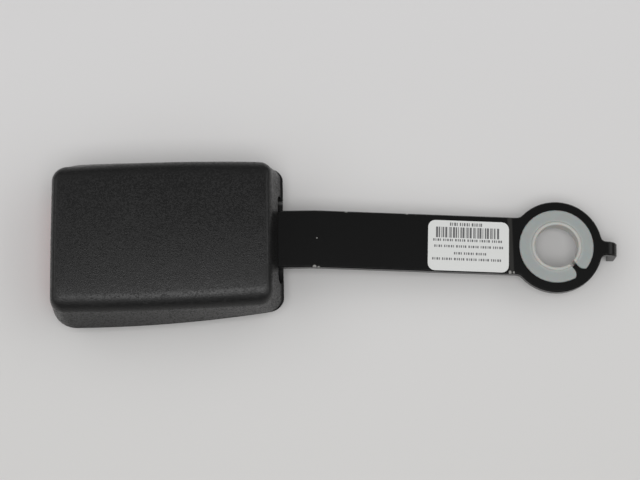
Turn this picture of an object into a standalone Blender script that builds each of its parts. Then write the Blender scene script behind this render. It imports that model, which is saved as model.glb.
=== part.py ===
"""Seat belt buckle on a stamped steel stalk, lying on its front cover.

X runs from the tongue's mouth to the stalk's eye, Z is up, and the rear cover is on top.
Every place is measured from the mouth end of the housing, on the housing's middle line and on
the surface it lies on. The last step slides the whole buckle so that its length is centred.
"""

import math

import bmesh
import bpy
from mathutils import Matrix, Vector

MM = 0.001

# General clearances
SEAT_GAP = 0.3 * MM
SLIDE_GAP = 0.4 * MM
BORE_GAP = 0.1 * MM
CUT_PAST = 2.0 * MM
WELD = 0.001 * MM

# Housing, outline at the seam between the covers
HOUSING_LENGTH = 83.7 * MM
HOUSING_WIDTH = 61.6 * MM
HOUSING_STALK_WIDTH = 51.8 * MM
HOUSING_WIDEST_AT = 20.0 * MM
MOUTH_CORNER = 9.0 * MM
STALK_CORNER = 8.0 * MM
HOUSING_HEIGHT = 27.0 * MM
SEAM_HEIGHT = 10.0 * MM
COVER_WALL = 2.2 * MM

# Rear cover, outline where its walls meet its rounded edge
FACE_WIDTH = 55.4 * MM
FACE_STALK_WIDTH = 51.4 * MM
FACE_WIDEST_AT = 35.0 * MM
FACE_MOUTH_CORNER = 5.5 * MM
FACE_STALK_CORNER = 7.0 * MM
MOUTH_DRAFT = 1.2 * MM
STALK_DRAFT = 2.6 * MM
EDGE_DROP = 5.5 * MM
EDGE_RUN = 7.5 * MM
CROWN_ACROSS = 1.2 * MM
CROWN_ALONG = 0.8 * MM

# Front cover
FRONT_OVERREACH = 0.8 * MM
FRONT_DRAFT = 1.2 * MM
FRONT_EDGE_RISE = 4.5 * MM
FRONT_EDGE_RUN = 4.5 * MM

# Frame, a folded steel channel
STEEL = 2.5 * MM
FRAME_END_GAP = 0.9 * MM
FRAME_INSIDE_WIDTH = 30.0 * MM
FRAME_FOLD_RADIUS = 3.0 * MM
FRAME_PLATE_OVER_SEAM = 4.0 * MM
FLANGE_BOTTOM = 3.5 * MM
FLANGE_FRONT = 20.0 * MM
FLANGE_GUIDE_DEPTH = 3.0 * MM
FLANGE_HEEL = 6.0 * MM
PLATE_BOTTOM = SEAM_HEIGHT + FRAME_PLATE_OVER_SEAM
PLATE_TOP = PLATE_BOTTOM + STEEL
FRAME_START = COVER_WALL + MOUTH_DRAFT + SEAT_GAP
FRAME_END = HOUSING_LENGTH - STALK_DRAFT - COVER_WALL - FRAME_END_GAP
FLANGE_INNER = FRAME_INSIDE_WIDTH / 2
FLANGE_OUTER = FLANGE_INNER + STEEL
FLANGE_MIDDLE = (FLANGE_INNER + FLANGE_OUTER) / 2

# Mouth and tongue channel
MOUTH_WIDTH = 28.0 * MM
MOUTH_LIP = 0.2 * MM
CHANNEL_HEIGHT = 4.6 * MM
CHANNEL_FLOOR = PLATE_BOTTOM - CHANNEL_HEIGHT

# Rivets through the strap and the frame
RIVET_FROM_FRAME_END = 7.0 * MM
RIVET_APART = 11.0 * MM
RIVET_RADIUS = 2.5 * MM
RIVET_HEAD_RADIUS = 4.2 * MM
RIVET_HEAD_HEIGHT = 1.7 * MM
RIVET_TAIL_HEIGHT = 0.85 * MM
RIVET_TAIL_EDGE = 0.4 * MM
RIVET_X = FRAME_END - RIVET_FROM_FRAME_END
STRAP_END_PAST_RIVETS = 7.7 * MM
STRAP_START = RIVET_X - STRAP_END_PAST_RIVETS

# Latch
LATCH_STEEL = 2.2 * MM
LATCH_WIDTH = 19.6 * MM
LATCH_FRONT = 23.0 * MM
LATCH_SHOULDER = 33.0 * MM
TOOTH_START = 24.0 * MM
TOOTH_LENGTH = 3.5 * MM
TOOTH_LAND = 1.2 * MM
TOOTH_LEAD_RISE = 1.5 * MM
TOOTH_WIDTH = 13.0 * MM
TOOTH_ABOVE_PLATE_BOTTOM = 0.9 * MM
WINDOW_SIDE_GAP = 1.0 * MM
WINDOW_FRONT_GAP = 1.5 * MM
WINDOW_REAR_GAP = 2.0 * MM
PIVOT_FROM_STRAP = 3.3 * MM
PIVOT_RADIUS = 1.5 * MM
PIVOT_HEAD_RADIUS = 2.4 * MM
PIVOT_HEAD_LENGTH = 1.0 * MM
PIVOT_TAIL_LENGTH = 1.3 * MM
RING_RADIUS = 3.4 * MM
RING_THICKNESS = 0.5 * MM
RING_DISH = 0.4 * MM
KNUCKLE_WALL = 1.1 * MM
PIVOT_X = STRAP_START - PIVOT_FROM_STRAP
LATCH_DROP_ANGLE = math.radians(6.6)
LATCH_TOP = CHANNEL_FLOOR - SLIDE_GAP
KNUCKLE_RADIUS = PIVOT_RADIUS + BORE_GAP + KNUCKLE_WALL
PIVOT_Z = LATCH_TOP + SLIDE_GAP / 2 - KNUCKLE_RADIUS
TOOTH_TOP = PLATE_BOTTOM + TOOTH_ABOVE_PLATE_BOTTOM

# Release button
BUTTON_WIDTH = 40.0 * MM
BUTTON_DEPTH = 13.0 * MM
BUTTON_TRAVEL = 5.0 * MM
BUTTON_FACE_SET_BACK = 0.2 * MM
BUTTON_FACE_RISE = 0.8 * MM
BUTTON_PAD_LENGTH = 7.6 * MM
BUTTON_WALL = 2.0 * MM
BUTTON_FINGER_RADIUS = 4.0 * MM
BUTTON_TOP_RADIUS = 1.2 * MM
BUTTON_SIDE_BEVEL = 0.4 * MM
SHOULDER_LENGTH = 5.8 * MM
PRONG_WIDTH = 2.8 * MM
PRONG_INNER = 10.8 * MM
PRONG_DEPTH = 2.5 * MM
PRONG_END = 37.0 * MM
PRONG_NOSE_RADIUS = 1.0 * MM
PRONG_OVER_LATCH = 0.1 * MM
BUTTON_TOP = CHANNEL_FLOOR - MOUTH_LIP
PRONG_TOP = LATCH_TOP + PRONG_OVER_LATCH
PRONG_BOTTOM = PRONG_TOP - PRONG_DEPTH
BUTTON_FACE_X = BUTTON_FACE_SET_BACK
BUTTON_REAR_X = BUTTON_FACE_X + BUTTON_DEPTH

# Latch ears, which the prongs press down
EAR_LENGTH = 8.0 * MM
EAR_THICKNESS = 1.2 * MM

# Ejector
EJECTOR_TRAVEL = 10.0 * MM
EJECTOR_BODY_LENGTH = 8.0 * MM
EJECTOR_STOP_ROOM = 5.3 * MM
EJECTOR_ARM_WIDTH = 6.4 * MM
EJECTOR_NIB_WIDTH = 5.2 * MM
EJECTOR_NIB_HEIGHT = 3.0 * MM
EJECTOR_POCKET_DEPTH = 5.7 * MM
EJECTOR_REAR_X = STRAP_START - EJECTOR_STOP_ROOM - EJECTOR_TRAVEL
EJECTOR_BODY_START = EJECTOR_REAR_X - EJECTOR_BODY_LENGTH
EJECTOR_HALF_WIDTH = FLANGE_INNER - SLIDE_GAP
EJECTOR_BOTTOM = CHANNEL_FLOOR + BORE_GAP
EJECTOR_TOP = PLATE_BOTTOM - SEAT_GAP

# Springs
SPRING_WIRE = 0.6 * MM
COIL_CLOSING = 0.6
BUTTON_SPRING_RADIUS = 2.3 * MM
BUTTON_SPRING_Z = 6.0 * MM
BUTTON_SPRING_POCKET = 5.0 * MM
BUTTON_SPRING_TURNS = 5
EJECTOR_SPRING_RADIUS = 2.3 * MM
EJECTOR_SPRING_TURNS = 7
LATCH_SPRING_RADIUS = 2.8 * MM
LATCH_SPRING_X = 46.0 * MM
LATCH_SPRING_TURNS = 3
SPRING_NIB_LENGTH = 1.8 * MM
SPRING_NIB_HEIGHT = 1.8 * MM
SPRING_BOSS_HEIGHT = 1.2 * MM

# Stalk, one stamping: strap, eye and stop tab
STRAP_WIDTH = 21.3 * MM
STRAP_THICKNESS = 3.0 * MM
STRAP_END_CORNER = 3.0 * MM
STAMPED_EDGE = 0.4 * MM
STRAIGHT_PAST_HOUSING = 12.1 * MM
SLOPE_LENGTH = 73.5 * MM
BEND_TO_EYE = 15.5 * MM
STRAP_DESCENT = 3.2 * MM
STALK_SKEW = math.radians(2.45)
BEND_LENGTH = 3.0 * MM
EYE_RADIUS = 17.0 * MM
EYE_HOLE_RADIUS = 9.5 * MM
NECK_FILLET = 3.0 * MM
TAB_WIDTH = 5.1 * MM
TAB_FILLET = 2.0 * MM
TAB_RUN = 18.7 * MM
TAB_BEND_RADIUS = 2.5 * MM
FIRST_BEND_AT = HOUSING_LENGTH + STRAIGHT_PAST_HOUSING
SECOND_BEND_AT = FIRST_BEND_AT + SLOPE_LENGTH
EYE_AT = SECOND_BEND_AT + BEND_TO_EYE
STRAP_TOP = PLATE_BOTTOM - SEAT_GAP
EYE_TOP = STRAP_TOP - STRAP_DESCENT
EYE_BOTTOM = EYE_TOP - STRAP_THICKNESS

# Split bush in the eye
BUSH_HOLE_RADIUS = 7.9 * MM
BUSH_FLANGE_RADIUS = 13.6 * MM
BUSH_FLANGE_THICKNESS = 0.9 * MM
BUSH_LIP_OVERLAP = 1.0 * MM
BUSH_RIM_WIDTH = 1.4 * MM
BUSH_RIM_RISE = 0.5 * MM
BUSH_SLIT_WIDTH = 2.0 * MM
BUSH_SLIT_ANGLE = math.radians(-50.0)
BUSH_SLIT_FLARE = 3.0 * MM

# Label on the strap
LABEL_TO_BEND = 2.0 * MM
LABEL_LENGTH = 29.8 * MM
LABEL_WIDTH = 18.9 * MM
LABEL_OFFSET = -0.9 * MM
LABEL_CORNER = 2.6 * MM
LABEL_THICKNESS = 0.15 * MM
LABEL_START = SECOND_BEND_AT - LABEL_TO_BEND - LABEL_LENGTH

# Slot for the strap in the covers
SLOT_WIDTH = 33.0 * MM
SLOT_OVER_STRAP = 0.8 * MM
SLOT_UNDER_STRAP = 1.5 * MM

# Ribs and rails of the covers
RIB_THICKNESS = 1.6 * MM
RIB_APART = 18.0 * MM
RIB_START = 34.0 * MM
RIB_TO_RIVETS = 3.8 * MM
PAD_LENGTH = 5.0 * MM
RAIL_LENGTH = 17.0 * MM
LIP_THICKNESS = 0.9 * MM
LIP_RISE = 1.6 * MM
SNAP_LENGTH = 6.0 * MM
SNAP_CATCH = 0.5 * MM
SNAP_FROM_ENDS = 24.0 * MM
RIB_END = RIVET_X - RIVET_HEAD_RADIUS - RIB_TO_RIVETS

# Facets
CORNER_STEPS = 6
SIDE_STEPS = 8
END_STEPS = 4
EDGE_STEPS = 4
FILLET_STEPS = 4
EYE_STEPS = 18
ROUND_SIDES = 40
HOLE_SIDES = 24
COIL_STEPS = 14
SHARP_ANGLE = math.radians(35)


def clear_scene():
    for old in list(bpy.data.objects):
        bpy.data.objects.remove(old, do_unlink=True)


def surface(name, colour, roughness, metallic):
    material = bpy.data.materials.new(name)
    material.use_nodes = True
    shader = material.node_tree.nodes["Principled BSDF"]
    shader.inputs["Base Color"].default_value = (*colour, 1.0)
    shader.inputs["Roughness"].default_value = roughness
    shader.inputs["Metallic"].default_value = metallic
    return material


def place(name, data, origin, root):
    thing = bpy.data.objects.new(name, data)
    thing.location = origin
    thing.parent = root
    bpy.context.scene.collection.objects.link(thing)
    return thing


def piece(name, bm, material, root, origin=(0, 0, 0)):
    """An object from a bmesh, with its own origin, such as a point on its joint's axis."""
    bmesh.ops.recalc_face_normals(bm, faces=bm.faces)
    bmesh.ops.translate(bm, verts=bm.verts, vec=-Vector(origin))
    mesh = bpy.data.meshes.new(name)
    bm.to_mesh(mesh)
    bm.free()
    mesh.materials.append(material)
    mesh.shade_smooth()
    mesh.set_sharp_from_angle(angle=SHARP_ANGLE)
    return place(name, mesh, origin, root)


def combine(target, bm, operation, root):
    """Adds a helper solid to a piece, or takes it away, with a Boolean modifier."""
    bmesh.ops.recalc_face_normals(bm, faces=bm.faces)
    name = f"{target.name}_helper_{len(target.modifiers)}"
    mesh = bpy.data.meshes.new(name)
    bm.to_mesh(mesh)
    bm.free()
    helper = place(name, mesh, (0, 0, 0), root)
    helper.hide_render = True
    helper.display_type = "WIRE"
    modifier = target.modifiers.new(name, "BOOLEAN")
    modifier.operation = operation
    modifier.object = helper


def cut(target, bm, root):
    combine(target, bm, "DIFFERENCE", root)


def join(target, bm, root):
    combine(target, bm, "UNION", root)


def block(low, high):
    bm = bmesh.new()
    bmesh.ops.create_cube(bm, size=1.0)
    size = Vector(high) - Vector(low)
    middle = (Vector(high) + Vector(low)) / 2
    bmesh.ops.scale(bm, verts=bm.verts, vec=size)
    bmesh.ops.translate(bm, verts=bm.verts, vec=middle)
    return bm


def prism(points, push):
    """A flat outline, given as points in space, pushed along a vector."""
    bm = bmesh.new()
    face = bm.faces.new([bm.verts.new(point) for point in points])
    extruded = bmesh.ops.extrude_face_region(bm, geom=[face])["geom"]
    moved = [item for item in extruded if isinstance(item, bmesh.types.BMVert)]
    bmesh.ops.translate(bm, verts=moved, vec=push)
    return bm


def side_prism(outline, half_width):
    """An outline of (x, z) points, pushed across the buckle."""
    return prism([(x, -half_width, z) for x, z in outline], (0, 2 * half_width, 0))


def rod(centre, direction, radius, length, sides):
    """A cylinder that starts at centre and runs along direction."""
    bm = bmesh.new()
    bmesh.ops.create_cone(
        bm, cap_ends=True, segments=sides, radius1=radius, radius2=radius, depth=length
    )
    bmesh.ops.translate(bm, verts=bm.verts, vec=(0, 0, length / 2))
    turn = Vector((0, 0, 1)).rotation_difference(Vector(direction)).to_matrix()
    bmesh.ops.rotate(bm, verts=bm.verts, cent=(0, 0, 0), matrix=turn)
    bmesh.ops.translate(bm, verts=bm.verts, vec=centre)
    return bm


def turned(profile, centre, sides):
    """A profile of (radius, height) points turned about a vertical line."""
    bm = bmesh.new()
    corners = [bm.verts.new((radius, 0, height)) for radius, height in profile]
    edges = [bm.edges.new(pair) for pair in zip(corners, corners[1:])]
    if profile[0][0] > WELD:
        edges.append(bm.edges.new((corners[-1], corners[0])))
    bmesh.ops.spin(
        bm,
        geom=corners + edges,
        cent=(0, 0, 0),
        axis=(0, 0, 1),
        angle=2 * math.pi,
        steps=sides,
        use_merge=True,
    )
    bmesh.ops.remove_doubles(bm, verts=bm.verts, dist=WELD)
    bmesh.ops.translate(bm, verts=bm.verts, vec=centre)
    return bm


def loft(rings):
    """A closed solid through rings that have the same number of points, joined point to point."""
    bm = bmesh.new()
    rows = [[bm.verts.new(point) for point in ring] for ring in rings]
    for row, next_row in zip(rows, rows[1:]):
        for index in range(len(row)):
            before = index - 1
            bm.faces.new((row[before], row[index], next_row[index], next_row[before]))
    bm.faces.new(rows[0])
    bm.faces.new(rows[-1])
    return bm


def arc(centre, radius, start, end, steps):
    """Points of a round stretch in a plane, both ends included, angles in radians."""
    turns = [start + (end - start) * step / steps for step in range(steps + 1)]
    return [(centre[0] + radius * math.cos(a), centre[1] + radius * math.sin(a)) for a in turns]


def straight(start, end, steps):
    """Points inside a straight stretch, both ends left out."""
    return [
        (start[0] + (end[0] - start[0]) * k / steps, start[1] + (end[1] - start[1]) * k / steps)
        for k in range(1, steps)
    ]


def mix(low, high, share):
    return low + (high - low) * share


def side_at(x, share, inset):
    """Half the housing's width at x. The sides bow out near the mouth and draw in to the stalk."""
    widest = mix(HOUSING_WIDTH, FACE_WIDTH, share) / 2
    narrowest = mix(HOUSING_STALK_WIDTH, FACE_STALK_WIDTH, share) / 2
    widest_at = mix(HOUSING_WIDEST_AT, FACE_WIDEST_AT, share)
    bow = (widest - narrowest) / (HOUSING_LENGTH - widest_at) ** 2
    return widest - inset - bow * (x - widest_at) ** 2


def housing_outline(share, inset, stalk_extra):
    """The housing in plan, from the seam (share 0) to the rear cover's edge (share 1)."""
    low_x = mix(0, MOUTH_DRAFT, share) + inset
    high_x = HOUSING_LENGTH - mix(0, STALK_DRAFT, share) + stalk_extra - inset
    half = mix(HOUSING_WIDTH, FACE_WIDTH, share) / 2 - inset
    mouth_corner = max(mix(MOUTH_CORNER, FACE_MOUTH_CORNER, share) - inset, COVER_WALL)
    stalk_corner = max(mix(STALK_CORNER, FACE_STALK_CORNER, share) - inset, COVER_WALL)
    quarter = math.pi / 2
    stalk_centre = (high_x - stalk_corner, half - stalk_corner)
    mouth_centre = (low_x + mouth_corner, half - mouth_corner)
    high_side = arc(stalk_centre, stalk_corner, 0, quarter, CORNER_STEPS)
    low_side = arc(mouth_centre, mouth_corner, quarter, 2 * quarter, CORNER_STEPS)
    upper = high_side + straight(high_side[-1], low_side[0], SIDE_STEPS) + low_side
    lower = [(x, -y) for x, y in reversed(upper)]
    ring = upper + straight(upper[-1], lower[0], END_STEPS) + lower + straight(lower[-1], upper[0], END_STEPS)
    return [(x, y * side_at(x, share, inset) / half) for x, y in ring]


def crown(x, y, top):
    """The height of the rear cover's gently domed face."""
    along = (x - HOUSING_LENGTH / 2) / (HOUSING_LENGTH / 2)
    across = y / (FACE_WIDTH / 2)
    return top - CROWN_ALONG * along**2 - CROWN_ACROSS * across**2


def rear_cover_rings(inset):
    """One face of the rear cover's wall, from the seam up to the middle of its crown."""
    top = HOUSING_HEIGHT - inset
    start = SEAM_HEIGHT + SEAT_GAP / 2
    rings = [[(x, y, start) for x, y in housing_outline(0, inset, 0)]]
    for step in range(EDGE_STEPS + 1):
        turn = math.pi / 2 * step / EDGE_STEPS
        run = EDGE_RUN * (1 - math.cos(turn))
        drop = EDGE_DROP * (1 - math.sin(turn))
        plan = housing_outline(1, inset + run, 0)
        rings.append([(x, y, crown(x, y, top) - drop) for x, y in plan])
    for share in (1 / 3, 2 / 3):
        run = mix(EDGE_RUN, FACE_STALK_WIDTH / 2 - inset, share)
        rings.append([(x, y, crown(x, y, top)) for x, y in housing_outline(1, inset + run, 0)])
    return rings


def seam_lip_share():
    """How far up the rear cover's inner draft the top of the front cover's lip stands."""
    inner_edge = HOUSING_HEIGHT - COVER_WALL - EDGE_DROP - CROWN_ACROSS - CROWN_ALONG
    return LIP_RISE / (inner_edge - SEAM_HEIGHT)


def seam_lip_ring(inset, height, share):
    """A ring of the front cover's lip, which stands inside the rear cover's wall."""
    plan = housing_outline(share, COVER_WALL + SEAT_GAP + inset, 0)
    return [(x, y, height) for x, y in plan]


def front_edge_rings(inset):
    """The front cover's wall and rounded edge, down to its flat face."""
    rings = []
    for step in range(EDGE_STEPS + 1):
        turn = math.pi / 2 * step / EDGE_STEPS
        run = FRONT_DRAFT + FRONT_EDGE_RUN * (1 - math.cos(turn))
        rise = FRONT_EDGE_RISE * (1 - math.sin(turn))
        plan = housing_outline(0, inset + run, FRONT_OVERREACH)
        rings.append([(x, y, inset + rise) for x, y in plan])
    return rings


def front_cover_skin():
    """The front cover's outer face from its lip, over its rim, down its wall to its flat face."""
    rim = SEAM_HEIGHT - SEAT_GAP / 2
    rings = [
        seam_lip_ring(0, SEAM_HEIGHT + LIP_RISE, seam_lip_share()),
        seam_lip_ring(0, rim, 0),
        [(x, y, rim) for x, y in housing_outline(0, 0, FRONT_OVERREACH)],
    ]
    return rings + front_edge_rings(0)


def front_cover_hollow():
    """The front cover's inner face from the top of its lip, below which it widens."""
    top = SEAM_HEIGHT + LIP_RISE
    foot = SEAM_HEIGHT - LIP_RISE
    wall_plan = housing_outline(0, COVER_WALL + FRONT_DRAFT / 2, FRONT_OVERREACH)
    rings = [
        seam_lip_ring(LIP_THICKNESS, top, seam_lip_share()),
        seam_lip_ring(LIP_THICKNESS, foot, 0),
        [(x, y, foot - LIP_THICKNESS) for x, y in wall_plan],
    ]
    return rings + front_edge_rings(COVER_WALL)


def snap_catch(middle_x, side, room):
    """A catch on the lip's outer face. Room makes it the pocket that it snaps into."""
    half = SNAP_LENGTH / 2 + room
    share = seam_lip_share()
    root = side_at(middle_x, share, COVER_WALL + SEAT_GAP + LIP_THICKNESS / 2)
    tip = side_at(middle_x, share / 2, COVER_WALL - SNAP_CATCH) + room
    low = SEAM_HEIGHT + SEAT_GAP - room
    high = SEAM_HEIGHT + LIP_RISE + room
    land = mix(low, high, 1 / 3)
    points = [(root, low), (tip, low), (tip, land), (root, high)]
    return prism([(middle_x - half, side * y, z) for y, z in points], (2 * half, 0, 0))


def shell(inner_rings, outer_rings):
    """A moulded shell whose two faces meet at its rim, where both lists of rings start."""
    return loft(list(reversed(inner_rings)) + outer_rings)


def strap_slot():
    """The round-ended slot that the stalk leaves the housing through."""
    low = STRAP_TOP - STRAP_THICKNESS - SLOT_UNDER_STRAP
    high = STRAP_TOP + SLOT_OVER_STRAP
    radius = (high - low) / 2
    middle = (high + low) / 2
    reach = SLOT_WIDTH / 2 - radius
    half_turn = math.pi / 2
    ends = arc((reach, middle), radius, -half_turn, half_turn, CORNER_STEPS)
    ends += arc((-reach, middle), radius, half_turn, 3 * half_turn, CORNER_STEPS)
    start = HOUSING_LENGTH - STALK_DRAFT - COVER_WALL - STALK_CORNER / 2
    return prism([(start, y, z) for y, z in ends], (STALK_CORNER * 2, 0, 0))


def make_rear_cover(material, root):
    cover = piece("rear_cover", shell(rear_cover_rings(COVER_WALL), rear_cover_rings(0)), material, root)
    rib_low = PLATE_TOP + SEAT_GAP
    rib_high = HOUSING_HEIGHT - COVER_WALL / 2 - CROWN_ACROSS
    for side in (-1, 1):
        middle = side * RIB_APART / 2
        low_y = middle - RIB_THICKNESS / 2
        high_y = middle + RIB_THICKNESS / 2
        join(cover, block((RIB_START, low_y, rib_low), (RIB_END, high_y, rib_high)), root)
        for snap_x in (SNAP_FROM_ENDS, HOUSING_LENGTH - SNAP_FROM_ENDS):
            cut(cover, snap_catch(snap_x, side, SEAT_GAP), root)
    mouth_high = PLATE_BOTTOM + MOUTH_LIP
    mouth_low = SEAM_HEIGHT - CUT_PAST
    mouth_end = FRAME_START - SEAT_GAP
    half = MOUTH_WIDTH / 2
    cut(cover, block((-CUT_PAST, -half, mouth_low), (mouth_end, half, mouth_high)), root)
    cut(cover, strap_slot(), root)
    return cover


def make_front_cover(material, root):
    cover = piece("front_cover", shell(front_cover_hollow(), front_cover_skin()), material, root)
    floor = COVER_WALL / 2
    pad_top = FLANGE_BOTTOM - SEAT_GAP
    rail_inner = BUTTON_WIDTH / 2 + SLIDE_GAP
    for side in (-1, 1):
        for snap_x in (SNAP_FROM_ENDS, HOUSING_LENGTH - SNAP_FROM_ENDS):
            join(cover, snap_catch(snap_x, side, 0), root)
        for pad_start in (LATCH_SHOULDER, FRAME_END - FLANGE_HEEL - 2 * PAD_LENGTH):
            ys = sorted((side * FLANGE_INNER, side * FLANGE_OUTER))
            join(cover, block((pad_start, ys[0], floor), (pad_start + PAD_LENGTH, ys[1], pad_top)), root)
        ys = sorted((side * rail_inner, side * (rail_inner + RIB_THICKNESS)))
        join(cover, block((COVER_WALL, ys[0], floor), (COVER_WALL + RAIL_LENGTH, ys[1], BUTTON_TOP)), root)
    boss_radius = LATCH_SPRING_RADIUS - SPRING_WIRE - SEAT_GAP
    boss_height = COVER_WALL - floor + SPRING_BOSS_HEIGHT
    boss = rod((LATCH_SPRING_X, 0, floor), (0, 0, 1), boss_radius, boss_height, HOLE_SIDES)
    join(cover, boss, root)
    opening_half = BUTTON_WIDTH / 2 + SLIDE_GAP
    opening_end = BUTTON_FACE_X + BUTTON_PAD_LENGTH + BUTTON_TRAVEL + SLIDE_GAP
    opening_high = COVER_WALL + SEAT_GAP / 2
    cut(cover, block((-CUT_PAST, -opening_half, -CUT_PAST), (opening_end, opening_half, opening_high)), root)
    wall_end = COVER_WALL + FRONT_DRAFT + FRONT_EDGE_RUN + SLIDE_GAP
    cut(cover, block((-CUT_PAST, -opening_half, 0), (wall_end, opening_half, SEAM_HEIGHT + CUT_PAST)), root)
    cut(cover, strap_slot(), root)
    return cover


def make_frame(material, root):
    """The channel is folded from one plate: a base plate over the tongue and two side flanges."""
    fold = FRAME_FOLD_RADIUS
    quarter = math.pi / 2
    outer = [(FLANGE_OUTER, FLANGE_BOTTOM)]
    outer += arc((FLANGE_OUTER - fold, PLATE_TOP - fold), fold, 0, quarter, CORNER_STEPS)
    inner_radius = fold - STEEL
    inner_centre = (FLANGE_INNER - inner_radius, PLATE_BOTTOM - inner_radius)
    inner = arc(inner_centre, inner_radius, quarter, 0, CORNER_STEPS)
    inner += [(FLANGE_INNER, FLANGE_BOTTOM)]
    section = outer + [(-y, z) for y, z in reversed(outer)]
    section += [(-y, z) for y, z in reversed(inner)] + inner
    bm = prism([(FRAME_START, y, z) for y, z in section], (FRAME_END - FRAME_START, 0, 0))
    frame = piece("buckle_frame", bm, material, root)
    reach = FLANGE_OUTER + CUT_PAST
    guide_bottom = PLATE_BOTTOM - FLANGE_GUIDE_DEPTH
    front = [
        (FRAME_START - CUT_PAST, FLANGE_BOTTOM - CUT_PAST),
        (FLANGE_FRONT, FLANGE_BOTTOM - CUT_PAST),
        (FLANGE_FRONT, guide_bottom),
        (FRAME_START - CUT_PAST, guide_bottom),
    ]
    cut(frame, side_prism(front, reach), root)
    heel = [
        (FRAME_END - FLANGE_HEEL, FLANGE_BOTTOM - CUT_PAST),
        (FRAME_END + CUT_PAST, FLANGE_BOTTOM - CUT_PAST),
        (FRAME_END + CUT_PAST, FLANGE_BOTTOM + FLANGE_HEEL + CUT_PAST),
        (FRAME_END - FLANGE_HEEL, FLANGE_BOTTOM),
    ]
    cut(frame, side_prism(heel, reach), root)
    window_half = TOOTH_WIDTH / 2 + WINDOW_SIDE_GAP
    window_low = TOOTH_START - WINDOW_FRONT_GAP
    window_high = TOOTH_START + TOOTH_LENGTH + WINDOW_REAR_GAP
    above = PLATE_TOP + CUT_PAST
    below = PLATE_BOTTOM - MM
    cut(frame, block((window_low, -window_half, below), (window_high, window_half, above)), root)
    slot_half = EJECTOR_NIB_WIDTH / 2 + SLIDE_GAP
    slot_low = EJECTOR_BODY_START - SLIDE_GAP
    slot_high = STRAP_START - MM
    cut(frame, block((slot_low, -slot_half, below), (slot_high, slot_half, above)), root)
    pivot_start = (PIVOT_X, -reach, PIVOT_Z)
    cut(frame, rod(pivot_start, (0, 1, 0), PIVOT_RADIUS + BORE_GAP, 2 * reach, HOLE_SIDES), root)
    for side in (-1, 1):
        hole_start = (RIVET_X, side * RIVET_APART / 2, below)
        hole_length = STEEL + 2 * CUT_PAST
        cut(frame, rod(hole_start, (0, 0, 1), RIVET_RADIUS + BORE_GAP, hole_length, HOLE_SIDES), root)
        ys = sorted((side * FLANGE_INNER, side * FLANGE_OUTER))
        nib_low = (FLANGE_FRONT - SPRING_NIB_LENGTH, ys[0], BUTTON_SPRING_Z - SPRING_NIB_HEIGHT / 2)
        nib_high = (FLANGE_FRONT + MM, ys[1], BUTTON_SPRING_Z + SPRING_NIB_HEIGHT / 2)
        join(frame, block(nib_low, nib_high), root)
    return frame


def in_latch(x, z, press):
    """Where a fixed point lies on the latch when the button is pressed by a share of its travel."""
    turn = LATCH_DROP_ANGLE * press
    offset = Vector((x - PIVOT_X, z - PIVOT_Z))
    turned_back = Matrix.Rotation(-turn, 2) @ offset
    return (PIVOT_X + turned_back.x, PIVOT_Z + turned_back.y)


def cam_line():
    """The slope on the latch's ears that the prongs' noses run down, from the motion itself."""
    steps = 6
    points = []
    for step in range(steps + 1):
        press = step / steps
        nose_x = PRONG_END + BUTTON_TRAVEL * press
        points.append(in_latch(nose_x, PRONG_BOTTOM - SEAT_GAP, press))
    return points


def make_latch(material, root):
    bottom = LATCH_TOP - LATCH_STEEL
    half = LATCH_WIDTH / 2
    narrow = TOOTH_WIDTH / 2
    knuckle_face = PIVOT_X - KNUCKLE_RADIUS / 2
    plan = [
        (LATCH_FRONT, -narrow),
        (LATCH_SHOULDER - half + narrow, -narrow),
        (LATCH_SHOULDER, -half),
        (knuckle_face, -half),
        (knuckle_face, half),
        (LATCH_SHOULDER, half),
        (LATCH_SHOULDER - half + narrow, narrow),
        (LATCH_FRONT, narrow),
    ]
    bm = prism([(x, y, bottom) for x, y in plan], (0, 0, LATCH_STEEL))
    latch = piece("latch", bm, material, root, origin=(PIVOT_X, 0, PIVOT_Z))
    tooth_end = TOOTH_START + TOOTH_LENGTH
    lead = [
        (TOOTH_START, bottom + LATCH_STEEL / 2),
        (tooth_end, bottom + LATCH_STEEL / 2),
        (tooth_end, TOOTH_TOP),
        (tooth_end - TOOTH_LAND, TOOTH_TOP),
        (TOOTH_START, LATCH_TOP + TOOTH_LEAD_RISE),
    ]
    join(latch, side_prism(lead, narrow), root)
    knuckle_half = FLANGE_INNER - SLIDE_GAP
    knuckle_start = (PIVOT_X, -knuckle_half, PIVOT_Z)
    join(latch, rod(knuckle_start, (0, 1, 0), KNUCKLE_RADIUS, 2 * knuckle_half, HOLE_SIDES), root)
    slope = cam_line()
    ear_low = slope[0][1] - EAR_THICKNESS
    ear_end = slope[0][0] + EAR_LENGTH
    ear = [(slope[0][0] - MM, ear_low), (ear_end, ear_low), (ear_end, slope[-1][1])]
    ear += list(reversed(slope)) + [(slope[0][0] - MM, slope[0][1])]
    ear_inner = half - MM
    ear_width = PRONG_INNER + PRONG_WIDTH - ear_inner
    for side in (-1, 1):
        points = [(x, side * ear_inner, z) for x, z in ear]
        join(latch, prism(points, (0, side * ear_width, 0)), root)
    bore_start = (PIVOT_X, -knuckle_half - CUT_PAST, PIVOT_Z)
    bore_length = 2 * (knuckle_half + CUT_PAST)
    cut(latch, rod(bore_start, (0, 1, 0), PIVOT_RADIUS + BORE_GAP, bore_length, HOLE_SIDES), root)
    return latch


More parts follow.
